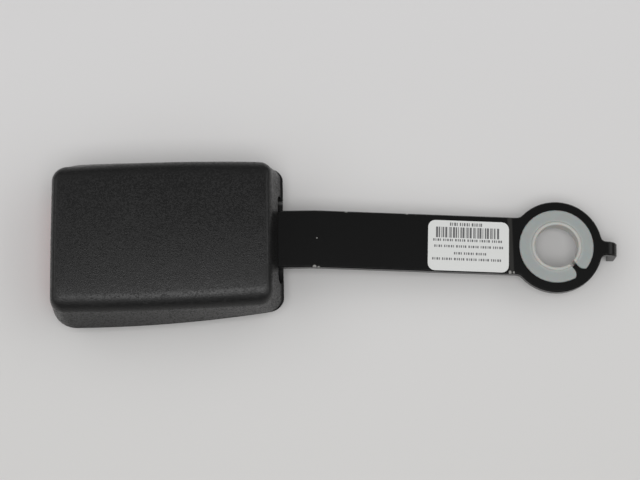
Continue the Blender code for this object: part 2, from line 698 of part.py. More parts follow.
def make_latch_pivot(material, root):
    """A pin with one formed head; a dished ring pushed on its other end keeps it in the frame."""
    reach = FLANGE_OUTER + SEAT_GAP
    start = (PIVOT_X, -reach, PIVOT_Z)
    length = 2 * reach + PIVOT_TAIL_LENGTH
    pin = piece("latch_pivot", rod(start, (0, 1, 0), PIVOT_RADIUS, length, HOLE_SIDES), material, root)
    head_start = (PIVOT_X, BORE_GAP - reach, PIVOT_Z)
    head_length = PIVOT_HEAD_LENGTH + BORE_GAP
    join(pin, rod(head_start, (0, -1, 0), PIVOT_HEAD_RADIUS, head_length, HOLE_SIDES), root)
    inner = PIVOT_RADIUS + BORE_GAP
    profile = [
        (inner, RING_DISH),
        (RING_RADIUS, 0),
        (RING_RADIUS, RING_THICKNESS),
        (inner, RING_DISH + RING_THICKNESS),
    ]
    bm = turned(profile, (0, 0, 0), HOLE_SIDES)
    turn = Vector((0, 0, 1)).rotation_difference(Vector((0, 1, 0))).to_matrix()
    bmesh.ops.rotate(bm, verts=bm.verts, cent=(0, 0, 0), matrix=turn)
    bmesh.ops.translate(bm, verts=bm.verts, vec=(PIVOT_X, reach, PIVOT_Z))
    piece("latch_pivot_ring", bm, material, root)
    return pin


def make_release_button(material, root):
    """A hollow moulding: a rounded finger face, two spring pockets and two prongs."""
    quarter = math.pi / 2
    face = BUTTON_FACE_X
    low = BUTTON_FACE_RISE
    body_low = COVER_WALL + SEAT_GAP
    pad_end = face + BUTTON_PAD_LENGTH
    finger = BUTTON_FINGER_RADIUS
    crest = BUTTON_TOP_RADIUS
    profile = [(BUTTON_REAR_X, body_low), (BUTTON_REAR_X, BUTTON_TOP)]
    profile += arc((face + crest, BUTTON_TOP - crest), crest, quarter, 2 * quarter, EDGE_STEPS)
    profile += arc((face + finger, low + finger), finger, 2 * quarter, 3 * quarter, CORNER_STEPS)
    profile += [(pad_end, low), (pad_end, body_low)]
    half = BUTTON_WIDTH / 2
    bm = side_prism(profile, half)
    ends = [edge for edge in bm.edges if all(abs(abs(v.co.y) - half) < WELD for v in edge.verts)]
    front = [edge for edge in ends if max(v.co.x for v in edge.verts) < pad_end - MM]
    bmesh.ops.bevel(bm, geom=front, offset=BUTTON_SIDE_BEVEL, segments=2, profile=0.5, affect="EDGES")
    button = piece("release_button", bm, material, root, origin=(face, 0, 0))
    prong_root = BUTTON_REAR_X - BUTTON_WALL
    shoulder_inner = MOUTH_WIDTH / 2 + SEAT_GAP
    for side in (-1, 1):
        ys = sorted((side * shoulder_inner, side * half))
        shoulder_low = (face + crest, ys[0], BUTTON_TOP - BUTTON_WALL / 2)
        shoulder_high = (face + SHOULDER_LENGTH, ys[1], SEAM_HEIGHT - SLIDE_GAP)
        join(button, block(shoulder_low, shoulder_high), root)
        nose = arc(
            (PRONG_END - PRONG_NOSE_RADIUS, PRONG_BOTTOM + PRONG_NOSE_RADIUS),
            PRONG_NOSE_RADIUS,
            -quarter,
            0,
            EDGE_STEPS,
        )
        outline = [(prong_root, PRONG_BOTTOM)] + nose + [(PRONG_END, PRONG_TOP), (prong_root, PRONG_TOP)]
        points = [(x, side * PRONG_INNER, z) for x, z in outline]
        join(button, prism(points, (0, side * PRONG_WIDTH, 0)), root)
    hollow_half = PRONG_INNER - BUTTON_WALL / 2
    hollow_low = (face + finger, -hollow_half, body_low + BUTTON_WALL / 2)
    hollow_high = (BUTTON_REAR_X + CUT_PAST, hollow_half, BUTTON_TOP - BUTTON_WALL / 2)
    cut(button, block(hollow_low, hollow_high), root)
    for side in (-1, 1):
        pocket_start = (BUTTON_REAR_X - BUTTON_SPRING_POCKET, side * FLANGE_MIDDLE, BUTTON_SPRING_Z)
        pocket_radius = BUTTON_SPRING_RADIUS + SLIDE_GAP
        pocket_length = BUTTON_SPRING_POCKET + CUT_PAST
        cut(button, rod(pocket_start, (1, 0, 0), pocket_radius, pocket_length, HOLE_SIDES), root)
    return button


def make_ejector(material, root):
    """A plastic slide whose two arms stand either side of the latch's tooth."""
    half = EJECTOR_HALF_WIDTH
    start = LATCH_FRONT
    inner = half - EJECTOR_ARM_WIDTH
    plan = [
        (start, half),
        (start, inner),
        (EJECTOR_BODY_START, inner),
        (EJECTOR_BODY_START, -inner),
        (start, -inner),
        (start, -half),
        (EJECTOR_REAR_X, -half),
        (EJECTOR_REAR_X, half),
    ]
    height = EJECTOR_TOP - EJECTOR_BOTTOM
    bm = prism([(x, y, EJECTOR_BOTTOM) for x, y in plan], (0, 0, height))
    ejector = piece("ejector", bm, material, root, origin=(start, 0, EJECTOR_BOTTOM))
    nib = EJECTOR_NIB_WIDTH / 2
    nib_low = (EJECTOR_BODY_START + SLIDE_GAP, -nib, EJECTOR_TOP - MM)
    nib_high = (EJECTOR_REAR_X - SLIDE_GAP, nib, EJECTOR_TOP + EJECTOR_NIB_HEIGHT)
    join(ejector, block(nib_low, nib_high), root)
    pocket_start = (EJECTOR_REAR_X - EJECTOR_POCKET_DEPTH, 0, ejector_spring_z())
    pocket_radius = EJECTOR_SPRING_RADIUS + SLIDE_GAP / 2
    pocket = rod(pocket_start, (1, 0, 0), pocket_radius, EJECTOR_POCKET_DEPTH + CUT_PAST, HOLE_SIDES)
    cut(ejector, pocket, root)
    return ejector


def ejector_spring_z():
    return LATCH_TOP + SLIDE_GAP + EJECTOR_SPRING_RADIUS + SEAT_GAP / 2


def coil(name, start, end, radius, turns, material, root):
    """A round-wire compression spring between two points, whose coils lie closer at its ends."""
    start = Vector(start)
    run = Vector(end) - start
    direction = run.normalized()
    side = direction.orthogonal().normalized()
    other = direction.cross(side)
    wire = SPRING_WIRE / 2
    curve = bpy.data.curves.new(name, "CURVE")
    curve.dimensions = "3D"
    curve.bevel_depth = wire
    curve.bevel_resolution = 1
    curve.use_fill_caps = True
    count = turns * COIL_STEPS + 1
    spline = curve.splines.new("POLY")
    spline.points.add(count - 1)
    first = direction * wire
    travel = run.length - 2 * wire
    for index, point in enumerate(spline.points):
        turned_share = index / (count - 1)
        angle = 2 * math.pi * turns * turned_share
        share = turned_share - COIL_CLOSING * math.sin(2 * math.pi * turned_share) / (2 * math.pi)
        ring = (side * math.cos(angle) + other * math.sin(angle)) * (radius - wire)
        point.co = (*(first + direction * travel * share + ring), 1)
    curve.materials.append(material)
    return place(name, curve, start, root)


def make_springs(material, root):
    for side, name in ((-1, "button_spring_right"), (1, "button_spring_left")):
        start = BUTTON_REAR_X - BUTTON_SPRING_POCKET + SEAT_GAP
        middle = side * FLANGE_MIDDLE
        end = FLANGE_FRONT - SEAT_GAP
        coil(
            name,
            (start, middle, BUTTON_SPRING_Z),
            (end, middle, BUTTON_SPRING_Z),
            BUTTON_SPRING_RADIUS,
            BUTTON_SPRING_TURNS,
            material,
            root,
        )
    height = ejector_spring_z()
    start = EJECTOR_REAR_X - EJECTOR_POCKET_DEPTH + SEAT_GAP
    end = STRAP_START - SEAT_GAP
    coil(
        "ejector_spring",
        (start, 0, height),
        (end, 0, height),
        EJECTOR_SPRING_RADIUS,
        EJECTOR_SPRING_TURNS,
        material,
        root,
    )
    coil(
        "latch_spring",
        (LATCH_SPRING_X, 0, COVER_WALL + SEAT_GAP),
        (LATCH_SPRING_X, 0, LATCH_TOP - LATCH_STEEL - SEAT_GAP),
        LATCH_SPRING_RADIUS,
        LATCH_SPRING_TURNS,
        material,
        root,
    )


def stalk_slope():
    """How far the strap tips down between its two bends."""
    return math.asin(STRAP_DESCENT / (SECOND_BEND_AT - FIRST_BEND_AT))


def stalk_bends():
    """Each bend as its start, its length along the strap, and how it turns the strap down and aside."""
    slope = stalk_slope()
    tab_bend = EYE_AT + TAB_RUN
    return (
        (FIRST_BEND_AT - BEND_LENGTH / 2, BEND_LENGTH, -slope, -STALK_SKEW),
        (SECOND_BEND_AT - BEND_LENGTH / 2, BEND_LENGTH, slope, 0),
        (tab_bend, TAB_BEND_RADIUS * math.pi / 2, -math.pi / 2, 0),
    )


def on_stalk(along, across, out):
    """A point of the flat blank carried to where the bends put it. Out is up from the middle."""
    x = STRAP_START
    y = 0
    z = STRAP_TOP - STRAP_THICKNESS / 2
    reached = STRAP_START
    pitch = 0
    yaw = 0
    for start, length, tip, swing in stalk_bends():
        run = min(along, start) - reached
        x += run * math.cos(pitch) * math.cos(yaw)
        y += run * math.cos(pitch) * math.sin(yaw)
        z += run * math.sin(pitch)
        reached += run
        if along <= start:
            break
        share = min((along - start) / length, 1)
        steps = 8
        for step in range(steps):
            middle = (step + 0.5) / steps * share
            turn = pitch + tip * middle
            aside = yaw + swing * middle
            run = length * share / steps
            x += run * math.cos(turn) * math.cos(aside)
            y += run * math.cos(turn) * math.sin(aside)
            z += run * math.sin(turn)
        pitch += tip * share
        yaw += swing * share
        reached = start + length * share
        if share < 1:
            break
    if along > reached:
        x += (along - reached) * math.cos(pitch) * math.cos(yaw)
        y += (along - reached) * math.cos(pitch) * math.sin(yaw)
        z += (along - reached) * math.sin(pitch)
    x += -math.sin(yaw) * across - math.sin(pitch) * math.cos(yaw) * out
    y += math.cos(yaw) * across - math.sin(pitch) * math.sin(yaw) * out
    z += math.cos(pitch) * out
    return Vector((x, y, z))


def tab_end():
    """Where the blank stops, so that the folded tab reaches down to just above the surface."""
    drop = EYE_TOP - STRAP_THICKNESS / 2 - TAB_BEND_RADIUS - BORE_GAP
    return EYE_AT + TAB_RUN + TAB_BEND_RADIUS * math.pi / 2 + drop


def stalk_blank(inset):
    """The flat stamping's outline: strap, filleted neck, round eye and stop tab."""
    half = STRAP_WIDTH / 2
    tab = TAB_WIDTH / 2
    quarter = math.pi / 2
    neck_x = EYE_AT - math.sqrt((EYE_RADIUS + NECK_FILLET) ** 2 - (half + NECK_FILLET) ** 2)
    tab_x = EYE_AT + math.sqrt((EYE_RADIUS + TAB_FILLET) ** 2 - (tab + TAB_FILLET) ** 2)
    neck_angle = math.atan2(half + NECK_FILLET, neck_x - EYE_AT)
    tab_angle = math.atan2(tab + TAB_FILLET, tab_x - EYE_AT)
    end_centre = (STRAP_START + STRAP_END_CORNER, half - STRAP_END_CORNER)
    neck_centre = (neck_x, half + NECK_FILLET)
    tab_centre = (tab_x, tab + TAB_FILLET)
    upper = arc(end_centre, STRAP_END_CORNER - inset, 2 * quarter, quarter, FILLET_STEPS)
    upper += arc(neck_centre, NECK_FILLET + inset, -quarter, neck_angle - 2 * quarter, FILLET_STEPS)
    upper += arc((EYE_AT, 0), EYE_RADIUS - inset, neck_angle, tab_angle, EYE_STEPS)[1:-1]
    upper += arc(tab_centre, TAB_FILLET + inset, tab_angle - 2 * quarter, -quarter, FILLET_STEPS)
    upper += [(tab_end() - inset, tab - inset)]
    return upper + [(x, -y) for x, y in reversed(upper)]


def carry_to_stalk(bm, first, last):
    """Cuts a flat blank across at its bends and carries every point to its place."""
    for start, length, tip, _ in stalk_bends():
        steps = max(2, round(abs(tip) / math.radians(15)))
        for step in range(steps + 1):
            station = start + length * step / steps
            if not first < station < last:
                continue
            bmesh.ops.bisect_plane(
                bm,
                geom=list(bm.verts) + list(bm.edges) + list(bm.faces),
                dist=WELD,
                plane_co=(station, 0, 0),
                plane_no=(1, 0, 0),
            )
    for corner in bm.verts:
        corner.co = on_stalk(*corner.co)


def eye_centre():
    return on_stalk(EYE_AT, 0, 0)


def make_stalk(material, root):
    half = STRAP_THICKNESS / 2
    levels = ((0, -half), (0, half - STAMPED_EDGE), (STAMPED_EDGE, half))
    bm = loft([[(x, y, z) for x, y in stalk_blank(inset)] for inset, z in levels])
    carry_to_stalk(bm, STRAP_START, tab_end())
    stalk = piece("stalk", bm, material, root)
    centre = eye_centre()
    hole_start = (centre.x, centre.y, EYE_BOTTOM - CUT_PAST)
    hole_length = STRAP_THICKNESS + 2 * CUT_PAST
    cut(stalk, rod(hole_start, (0, 0, 1), EYE_HOLE_RADIUS, hole_length, ROUND_SIDES), root)
    for side in (-1, 1):
        start = (RIVET_X, side * RIVET_APART / 2, STRAP_TOP - STRAP_THICKNESS - CUT_PAST)
        cut(stalk, rod(start, (0, 0, 1), RIVET_RADIUS + BORE_GAP, hole_length, HOLE_SIDES), root)
    return stalk


def make_rivets(material, root):
    low = STRAP_TOP - STRAP_THICKNESS - SEAT_GAP
    high = PLATE_TOP + SEAT_GAP
    head = RIVET_HEAD_RADIUS
    dome = arc((0, 0), 1, math.pi / 2, 0, EDGE_STEPS)
    profile = [(head * x, high + RIVET_HEAD_HEIGHT * y) for x, y in dome]
    profile += [(RIVET_RADIUS, high), (RIVET_RADIUS, low)]
    tail = low - RIVET_TAIL_HEIGHT
    profile += [(head, low), (head, tail + RIVET_TAIL_EDGE), (head - RIVET_TAIL_EDGE, tail), (0, tail)]
    for side, name in ((-1, "stalk_rivet_right"), (1, "stalk_rivet_left")):
        bm = turned(profile, (RIVET_X, side * RIVET_APART / 2, 0), HOLE_SIDES)
        piece(name, bm, material, root)


def make_eye_bush(material, root):
    """A split plastic bush: a collar through the eye, a broad flange on top and a lip below."""
    collar = EYE_HOLE_RADIUS - SEAT_GAP
    flange_low = EYE_TOP + SEAT_GAP / 2
    flange_high = flange_low + BUSH_FLANGE_THICKNESS
    lip_high = EYE_BOTTOM - SEAT_GAP / 2
    lip_low = lip_high - BUSH_FLANGE_THICKNESS
    quarter = math.pi / 2
    rim = BUSH_RIM_WIDTH / 2
    rim_arc = arc((0, 0), 1, 2 * quarter, 0, CORNER_STEPS)
    profile = [(BUSH_HOLE_RADIUS, lip_low)]
    profile += [(BUSH_HOLE_RADIUS + rim * (1 + x), flange_high + BUSH_RIM_RISE * y) for x, y in rim_arc]
    profile += [
        (BUSH_FLANGE_RADIUS - BUSH_FLANGE_THICKNESS / 3, flange_high),
        (BUSH_FLANGE_RADIUS, flange_high - BUSH_FLANGE_THICKNESS / 3),
        (BUSH_FLANGE_RADIUS, flange_low),
        (collar, flange_low),
        (collar, lip_high),
        (EYE_HOLE_RADIUS + BUSH_LIP_OVERLAP, lip_high),
        (EYE_HOLE_RADIUS + BUSH_LIP_OVERLAP / 2, lip_low),
    ]
    centre = eye_centre()
    bush = piece("eye_bush", turned(profile, (centre.x, centre.y, 0), ROUND_SIDES), material, root)
    half = BUSH_SLIT_WIDTH / 2
    flare = BUSH_SLIT_FLARE
    flare_start = BUSH_FLANGE_RADIUS - flare
    edge = arc((flare_start, half + flare), flare, -quarter, 0, CORNER_STEPS)
    edge += [(BUSH_FLANGE_RADIUS + CUT_PAST, half + flare)]
    slit = [(BUSH_HOLE_RADIUS / 2, half)] + edge
    slit += [(x, -y) for x, y in reversed(slit)]
    low = lip_low - CUT_PAST
    high = flange_high + BUSH_RIM_RISE + CUT_PAST
    bm = prism([(x, y, low) for x, y in slit], (0, 0, high - low))
    bmesh.ops.rotate(bm, verts=bm.verts, cent=(0, 0, 0), matrix=Matrix.Rotation(BUSH_SLIT_ANGLE, 3, "Z"))
    bmesh.ops.translate(bm, verts=bm.verts, vec=(centre.x, centre.y, 0))
    cut(bush, bm, root)
    return bush


def make_label(material, root):
    half = LABEL_WIDTH / 2
    corner = LABEL_CORNER
    quarter = math.pi / 2
    low_x = LABEL_START + corner
    high_x = LABEL_START + LABEL_LENGTH - corner
    plan = []
    for index, (x, y) in enumerate(((high_x, 1), (low_x, 1), (low_x, -1), (high_x, -1))):
        middle = LABEL_OFFSET + y * (half - corner)
        plan += arc((x, middle), corner, index * quarter, (index + 1) * quarter, FILLET_STEPS)
    low = STRAP_THICKNESS / 2 + BORE_GAP
    bm = prism([(x, y, low) for x, y in plan], (0, 0, LABEL_THICKNESS))
    carry_to_stalk(bm, LABEL_START, LABEL_START + LABEL_LENGTH)
    return piece("label", bm, material, root)


def centre_on_length(root):
    """Slides the buckle along X until its two ends are the same distance from the origin."""
    reach = [
        thing.location.x + corner.co.x
        for thing in root.children
        if thing.type == "MESH" and not thing.hide_render
        for corner in thing.data.vertices
    ]
    root.location.x = -(min(reach) + max(reach)) / 2


clear_scene()
buckle = bpy.data.objects.new("buckle_datum", None)
bpy.context.scene.collection.objects.link(buckle)
black_plastic = surface("grained_black_plastic", (0.022, 0.022, 0.023), 0.55, 0.0)
red_plastic = surface("red_plastic", (0.55, 0.02, 0.02), 0.4, 0.0)
grey_plastic = surface("grey_bush_plastic", (0.45, 0.47, 0.46), 0.5, 0.0)
white_plastic = surface("natural_plastic", (0.7, 0.68, 0.62), 0.5, 0.0)
zinc_steel = surface("zinc_plated_steel", (0.55, 0.55, 0.53), 0.35, 1.0)
black_steel = surface("black_coated_steel", (0.012, 0.012, 0.012), 0.45, 0.0)
spring_steel = surface("spring_steel", (0.5, 0.5, 0.5), 0.3, 1.0)
label_film = surface("label_film", (0.8, 0.8, 0.79), 0.4, 0.0)

make_rear_cover(black_plastic, buckle)
make_front_cover(black_plastic, buckle)
make_frame(zinc_steel, buckle)
make_release_button(red_plastic, buckle)
make_latch(zinc_steel, buckle)
make_latch_pivot(zinc_steel, buckle)
make_ejector(white_plastic, buckle)
make_springs(spring_steel, buckle)
make_stalk(black_steel, buckle)
make_rivets(zinc_steel, buckle)
make_eye_bush(grey_plastic, buckle)
make_label(label_film, buckle)
centre_on_length(buckle)
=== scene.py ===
"""The looks of a seat belt buckle on a steel stalk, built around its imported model.

X runs from the tongue's mouth to the stalk's eye, Z is up, all in metres.
"""

import math

import bmesh
import bpy
from mathutils import Matrix, Vector


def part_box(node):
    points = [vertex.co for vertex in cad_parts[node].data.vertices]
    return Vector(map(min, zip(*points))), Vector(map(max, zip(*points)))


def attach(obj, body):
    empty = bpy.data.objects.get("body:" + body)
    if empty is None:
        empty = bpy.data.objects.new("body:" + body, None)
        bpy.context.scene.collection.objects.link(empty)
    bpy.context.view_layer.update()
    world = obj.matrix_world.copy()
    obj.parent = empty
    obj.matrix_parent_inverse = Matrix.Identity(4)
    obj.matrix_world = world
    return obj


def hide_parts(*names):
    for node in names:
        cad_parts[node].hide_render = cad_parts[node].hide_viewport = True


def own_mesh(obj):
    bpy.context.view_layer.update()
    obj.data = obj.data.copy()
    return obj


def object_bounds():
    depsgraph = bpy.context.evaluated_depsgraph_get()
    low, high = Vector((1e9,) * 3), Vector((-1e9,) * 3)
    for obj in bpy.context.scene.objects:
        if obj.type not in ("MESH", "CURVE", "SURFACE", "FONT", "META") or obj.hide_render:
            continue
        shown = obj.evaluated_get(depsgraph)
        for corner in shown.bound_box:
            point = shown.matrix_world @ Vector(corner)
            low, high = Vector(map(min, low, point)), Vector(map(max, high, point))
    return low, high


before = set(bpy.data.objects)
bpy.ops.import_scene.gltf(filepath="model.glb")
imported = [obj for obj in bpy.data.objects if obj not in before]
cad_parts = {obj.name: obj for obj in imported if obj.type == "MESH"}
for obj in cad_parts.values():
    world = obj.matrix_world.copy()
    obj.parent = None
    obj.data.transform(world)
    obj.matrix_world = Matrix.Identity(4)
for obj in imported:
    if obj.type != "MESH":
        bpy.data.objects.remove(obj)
cad_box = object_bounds()

MM = 0.001

# Camera
# A long lens looks almost straight down on the buckle, leaning towards the side that is the lower
# one in the picture, which is turned by a degree against the buckle's length.

LENS_MM = 106.9
SENSOR_MM = 36.0
CAMERA_DISTANCE = 709 * MM
CAMERA_TILT = math.radians(13.5)
CAMERA_TURN = math.radians(-0.9)
CAMERA_AIM = Vector((-5.72, 2.6, 0)) * MM

camera_data = bpy.data.cameras.new("camera")
camera_data.lens = LENS_MM
camera_data.sensor_width = SENSOR_MM
camera = bpy.data.objects.new("camera", camera_data)
camera.rotation_euler = (CAMERA_TILT, 0, CAMERA_TURN)
camera.location = CAMERA_AIM + camera.rotation_euler.to_matrix() @ Vector((0, 0, CAMERA_DISTANCE))
bpy.context.scene.collection.objects.link(camera)
bpy.context.scene.camera = camera
bpy.context.scene.view_settings.view_transform = "Standard"


# Table and light
# A pale table in a light tent, its top painted a little lighter towards the far side as a painted light
# falloff. The tent's left and right walls glow, and its foot and its top, where the camera looks in, are
# dim. A softbox stands just behind the camera.

TABLE_SIZE = 4.0
TABLE_CLOUD = 0.2
# The table's tones and reach: a painted light falloff from darker at the near side to lighter at the far
# side, over a faint cloud.
TABLE_FALLOFF_REACH = 0.12
TABLE_CLOUD_AND_FALLOFF_TONES = ("#cdccca", "#d6d5d5")
TENT_STRENGTH = 1.66
TENT_GLOW = "#ffffff"
TENT_TOP = "#565656"
TENT_FOOT = "#5c5c5c"
TENT_SIDES = 1.5
TENT_FRONT = 0.1
LAMP_SIZE = 1.0
LAMP_DISTANCE = 1.6
LAMP_TILT = math.radians(17)
LAMP_POWER = 11.6

# Heights on a unit sphere, 0 at the table and 1 overhead, between which the tent's tones change.
TENT_TOP_EDGE = (0.94, 0.84)
TENT_FOOT_EDGE = (0.3, 0.58)

# Sockets of a colour mix, which share their names with those of its other kinds.
MIX_FROM = 6
MIX_TO = 7
MIX_RESULT = 2


def linear(hex_colour):
    """An sRGB hex colour as the linear colour that a shader takes."""
    channels = [int(hex_colour[start : start + 2], 16) / 255 for start in (1, 3, 5)]
    return [c / 12.92 if c <= 0.04045 else ((c + 0.055) / 1.055) ** 2.4 for c in channels] + [1.0]


def add(tree, kind, settings=(), links=()):
    """Adds a shader node with its settings and links, by property, socket name or socket number."""
    shader_node = tree.nodes.new(kind)
    for name, value in dict(settings).items():
        if isinstance(name, str) and hasattr(shader_node, name):
            setattr(shader_node, name, value)
        else:
            shader_node.inputs[name].default_value = value
    for name, source in dict(links).items():
        tree.links.new(source, shader_node.inputs[name])
    return shader_node


def new_material(name):
    """A new material and its node tree, which is still empty."""
    material = bpy.data.materials.new(name)
    material.use_nodes = True
    tree = material.node_tree
    tree.nodes.clear()
    return material, tree


def matt_laminate():
    """Melamine table top, matt, with the faintest cloudiness, and painted lighter towards the far side as a
    painted light falloff.
    """
    material, tree = new_material("matt_laminate")
    place = add(tree, "ShaderNodeTexCoord").outputs["Object"]
    cloud = add(tree, "ShaderNodeTexNoise", {"Scale": 1 / TABLE_CLOUD, "Detail": 2.0}, {"Vector": place})
    # Painted light falloff: the tone goes from darker at the near side (-Y) to lighter at the far side (+Y),
    # with the cloud mixed in.
    across = add(tree, "ShaderNodeSeparateXYZ", {}, {"Vector": place}).outputs["Y"]
    drift = add(
        tree,
        "ShaderNodeMath",
        {"operation": "MULTIPLY_ADD", 1: TABLE_FALLOFF_REACH / 2},
        {0: cloud.outputs["Fac"], 2: across},
    )
    share = add(
        tree,
        "ShaderNodeMapRange",
        {"From Min": -TABLE_FALLOFF_REACH, "From Max": TABLE_FALLOFF_REACH},
        {"Value": drift.outputs[0]},
    )
    tint = add(
        tree,
        "ShaderNodeMix",
        {"data_type": "RGBA", MIX_FROM: linear(TABLE_CLOUD_AND_FALLOFF_TONES[0]), MIX_TO: linear(TABLE_CLOUD_AND_FALLOFF_TONES[1])},
        {0: share.outputs[0]},
    )
    shader = add(
        tree,
        "ShaderNodeBsdfPrincipled",
        {"Roughness": 0.7, "Specular IOR Level": 0.2},
        {"Base Color": tint.outputs[MIX_RESULT]},
    )
    add(tree, "ShaderNodeOutputMaterial", {}, {"Surface": shader.outputs[0]})
    return material


bm = bmesh.new()
bmesh.ops.create_grid(bm, x_segments=1, y_segments=1, size=TABLE_SIZE / 2)
bmesh.ops.translate(bm, verts=bm.verts, vec=(0, 0, cad_box[0][2]))
table_mesh = bpy.data.meshes.new("table_top")
bm.to_mesh(table_mesh)
bm.free()
table_mesh.materials.append(matt_laminate())
table = bpy.data.objects.new("table_top", table_mesh)
bpy.context.scene.collection.objects.link(table)

world = bpy.data.worlds.new("light_tent")
world.use_nodes = True
tent = world.node_tree
direction = add(tent, "ShaderNodeTexCoord").outputs["Generated"]
parts = add(tent, "ShaderNodeSeparateXYZ", {}, {"Vector": direction}).outputs
below_top, above_foot = [
    add(
        tent,
        "ShaderNodeMapRange",
        {"interpolation_type": "SMOOTHSTEP", "From Min": edge[0], "From Max": edge[1]},
        {"Value": parts["Z"]},
    )
    for edge in (TENT_TOP_EDGE, TENT_FOOT_EDGE)
]
sideways = add(tent, "ShaderNodeMath", {"operation": "MULTIPLY"}, {0: parts["X"], 1: parts["X"]})
around = add(
    tent,
    "ShaderNodeMath",
    {"operation": "MULTIPLY_ADD", 1: TENT_SIDES, 2: TENT_FRONT},
    {0: sideways.outputs[0]},
)
glow = add(
    tent,
    "ShaderNodeMath",
    {"operation": "MULTIPLY"},
    {0: around.outputs[0], 1: below_top.outputs[0]},
)
wall = add(
    tent,
    "ShaderNodeMix",
    {"data_type": "RGBA", MIX_FROM: linear(TENT_TOP), MIX_TO: linear(TENT_GLOW)},
    {0: glow.outputs[0]},
)
shade = add(
    tent,
    "ShaderNodeMix",
    {"data_type": "RGBA", MIX_FROM: linear(TENT_FOOT)},
    {0: above_foot.outputs[0], MIX_TO: wall.outputs[MIX_RESULT]},
)
tent.links.new(shade.outputs[MIX_RESULT], tent.nodes["Background"].inputs["Color"])
tent.nodes["Background"].inputs["Strength"].default_value = TENT_STRENGTH
bpy.context.scene.world = world

lamp_data = bpy.data.lights.new("softbox", "AREA")
lamp_data.size = LAMP_SIZE
lamp_data.energy = LAMP_POWER
lamp = bpy.data.objects.new("softbox", lamp_data)
lamp.rotation_euler = (LAMP_TILT, 0, 0)
lamp.location = lamp.rotation_euler.to_matrix() @ Vector((0, 0, LAMP_DISTANCE))
bpy.context.scene.collection.objects.link(lamp)


# Frame, latch, latch pivot and rivets
# The load path: a channel folded from 2.5 mm steel, a fine-blanked latch that swings on a headed
# pin with a push-on ring, and two rivets to the stalk. All are zinc plated, a bluish mottled grey.

ZINC_DARK = "#a7abae"
ZINC_LIGHT = "#c3c6c7"
ZINC_ROUGHNESS = (0.25, 0.45)
SPANGLE = 2.2 * MM
BLANKING_GRAIN = 0.35 * MM
BLANKING_RELIEF = 0.01 * MM
TUMBLED_EDGE = 0.25 * MM
SHARP = math.radians(30)
FLAT = math.radians(0.5)
WELD = 0.002 * MM


def zinc_plate():
    """Bright zinc plate on blanked steel: a metal whose roughness drifts with the bath."""
    material, tree = new_material("zinc_plated_steel")
    place = add(tree, "ShaderNodeTexCoord").outputs["Object"]
    drift = add(tree, "ShaderNodeTexNoise", {"Scale": 1 / SPANGLE, "Detail": 3.0}, {"Vector": place})
    grain = add(tree, "ShaderNodeTexNoise", {"Scale": 1 / BLANKING_GRAIN, "Detail": 2.0}, {"Vector": place})
    tint = add(
        tree,
        "ShaderNodeMix",
        {"data_type": "RGBA", MIX_FROM: linear(ZINC_DARK), MIX_TO: linear(ZINC_LIGHT)},
        {0: drift.outputs["Fac"]},
    )
    polish = add(
        tree,
        "ShaderNodeMapRange",
        {"To Min": ZINC_ROUGHNESS[0], "To Max": ZINC_ROUGHNESS[1]},
        {"Value": drift.outputs["Fac"]},
    )
    bump = add(
        tree,
        "ShaderNodeBump",
        {"Strength": 0.3, "Distance": BLANKING_RELIEF},
        {"Height": grain.outputs["Fac"]},
    )
    shader = add(
        tree,
        "ShaderNodeBsdfPrincipled",
        {"Metallic": 1.0},
        {"Base Color": tint.outputs[MIX_RESULT], "Roughness": polish.outputs[0], "Normal": bump.outputs[0]},
    )
    add(tree, "ShaderNodeOutputMaterial", {}, {"Surface": shader.outputs[0]})
    return material


def add_piece(name, bm, material, body, replaced=()):
    """Turns a bmesh into a smooth piece that rides on a body and may take the place of nodes."""
    mesh = bpy.data.meshes.new(name)
    bm.to_mesh(mesh)
    bm.free()
    mesh.materials.append(material)
    mesh.shade_smooth()
    mesh.set_sharp_from_angle(angle=SHARP)
    piece = bpy.data.objects.new(name, mesh)
    bpy.context.scene.collection.objects.link(piece)
    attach(piece, body)
    if replaced:
        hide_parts(*replaced)
    return piece


def eased_copy(node, width):
    """A copy of a CAD node whose sharp edges are rounded, as a tumbling drum or a mould leaves them."""
    bm = bmesh.new()
    bm.from_mesh(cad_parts[node].data)
    bmesh.ops.remove_doubles(bm, verts=bm.verts, dist=WELD)
    bmesh.ops.dissolve_limit(bm, angle_limit=FLAT, verts=bm.verts, edges=bm.edges)
    sharp = [edge for edge in bm.edges if edge.calc_face_angle(0) > SHARP]
    bmesh.ops.bevel(
        bm,
        geom=sharp,
        offset=width,
        segments=2,
        profile=0.5,
        affect="EDGES",
        material=-1,
        clamp_overlap=True,
    )
    return bm


def add_eased(name, node, width, material, body):
    """The eased copy as a piece. Its wide faces lead the shading, so that they look flat."""
    piece = add_piece(name, eased_copy(node, width), material, body, [node])
    flats = piece.modifiers.new("flat_faces_lead", "WEIGHTED_NORMAL")
    flats.keep_sharp = True


zinc = zinc_plate()
add_eased("buckle_frame_folding", "buckle_frame", TUMBLED_EDGE, zinc, "housing")
add_eased("latch_blanking", "latch", TUMBLED_EDGE, zinc, "latch")
for node in ("latch_pivot", "latch_pivot_ring", "stalk_rivet_left", "stalk_rivet_right"):
    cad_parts[node].material_slots[0].material = zinc


# Ejector
# A slide moulded in natural acetal, waxy and off-white. Its spring drives it towards the mouth,
# and it pushes the tongue out when the latch lets go.

ACETAL = "#dcd8cc"
ACETAL_ROUGHNESS = (0.34, 0.46)
ACETAL_DEPTH = 1.0 * MM
ACETAL_SKIN = 0.8 * MM
SKIN_RELIEF = 0.01 * MM
MOULDED_EDGE = 0.3 * MM


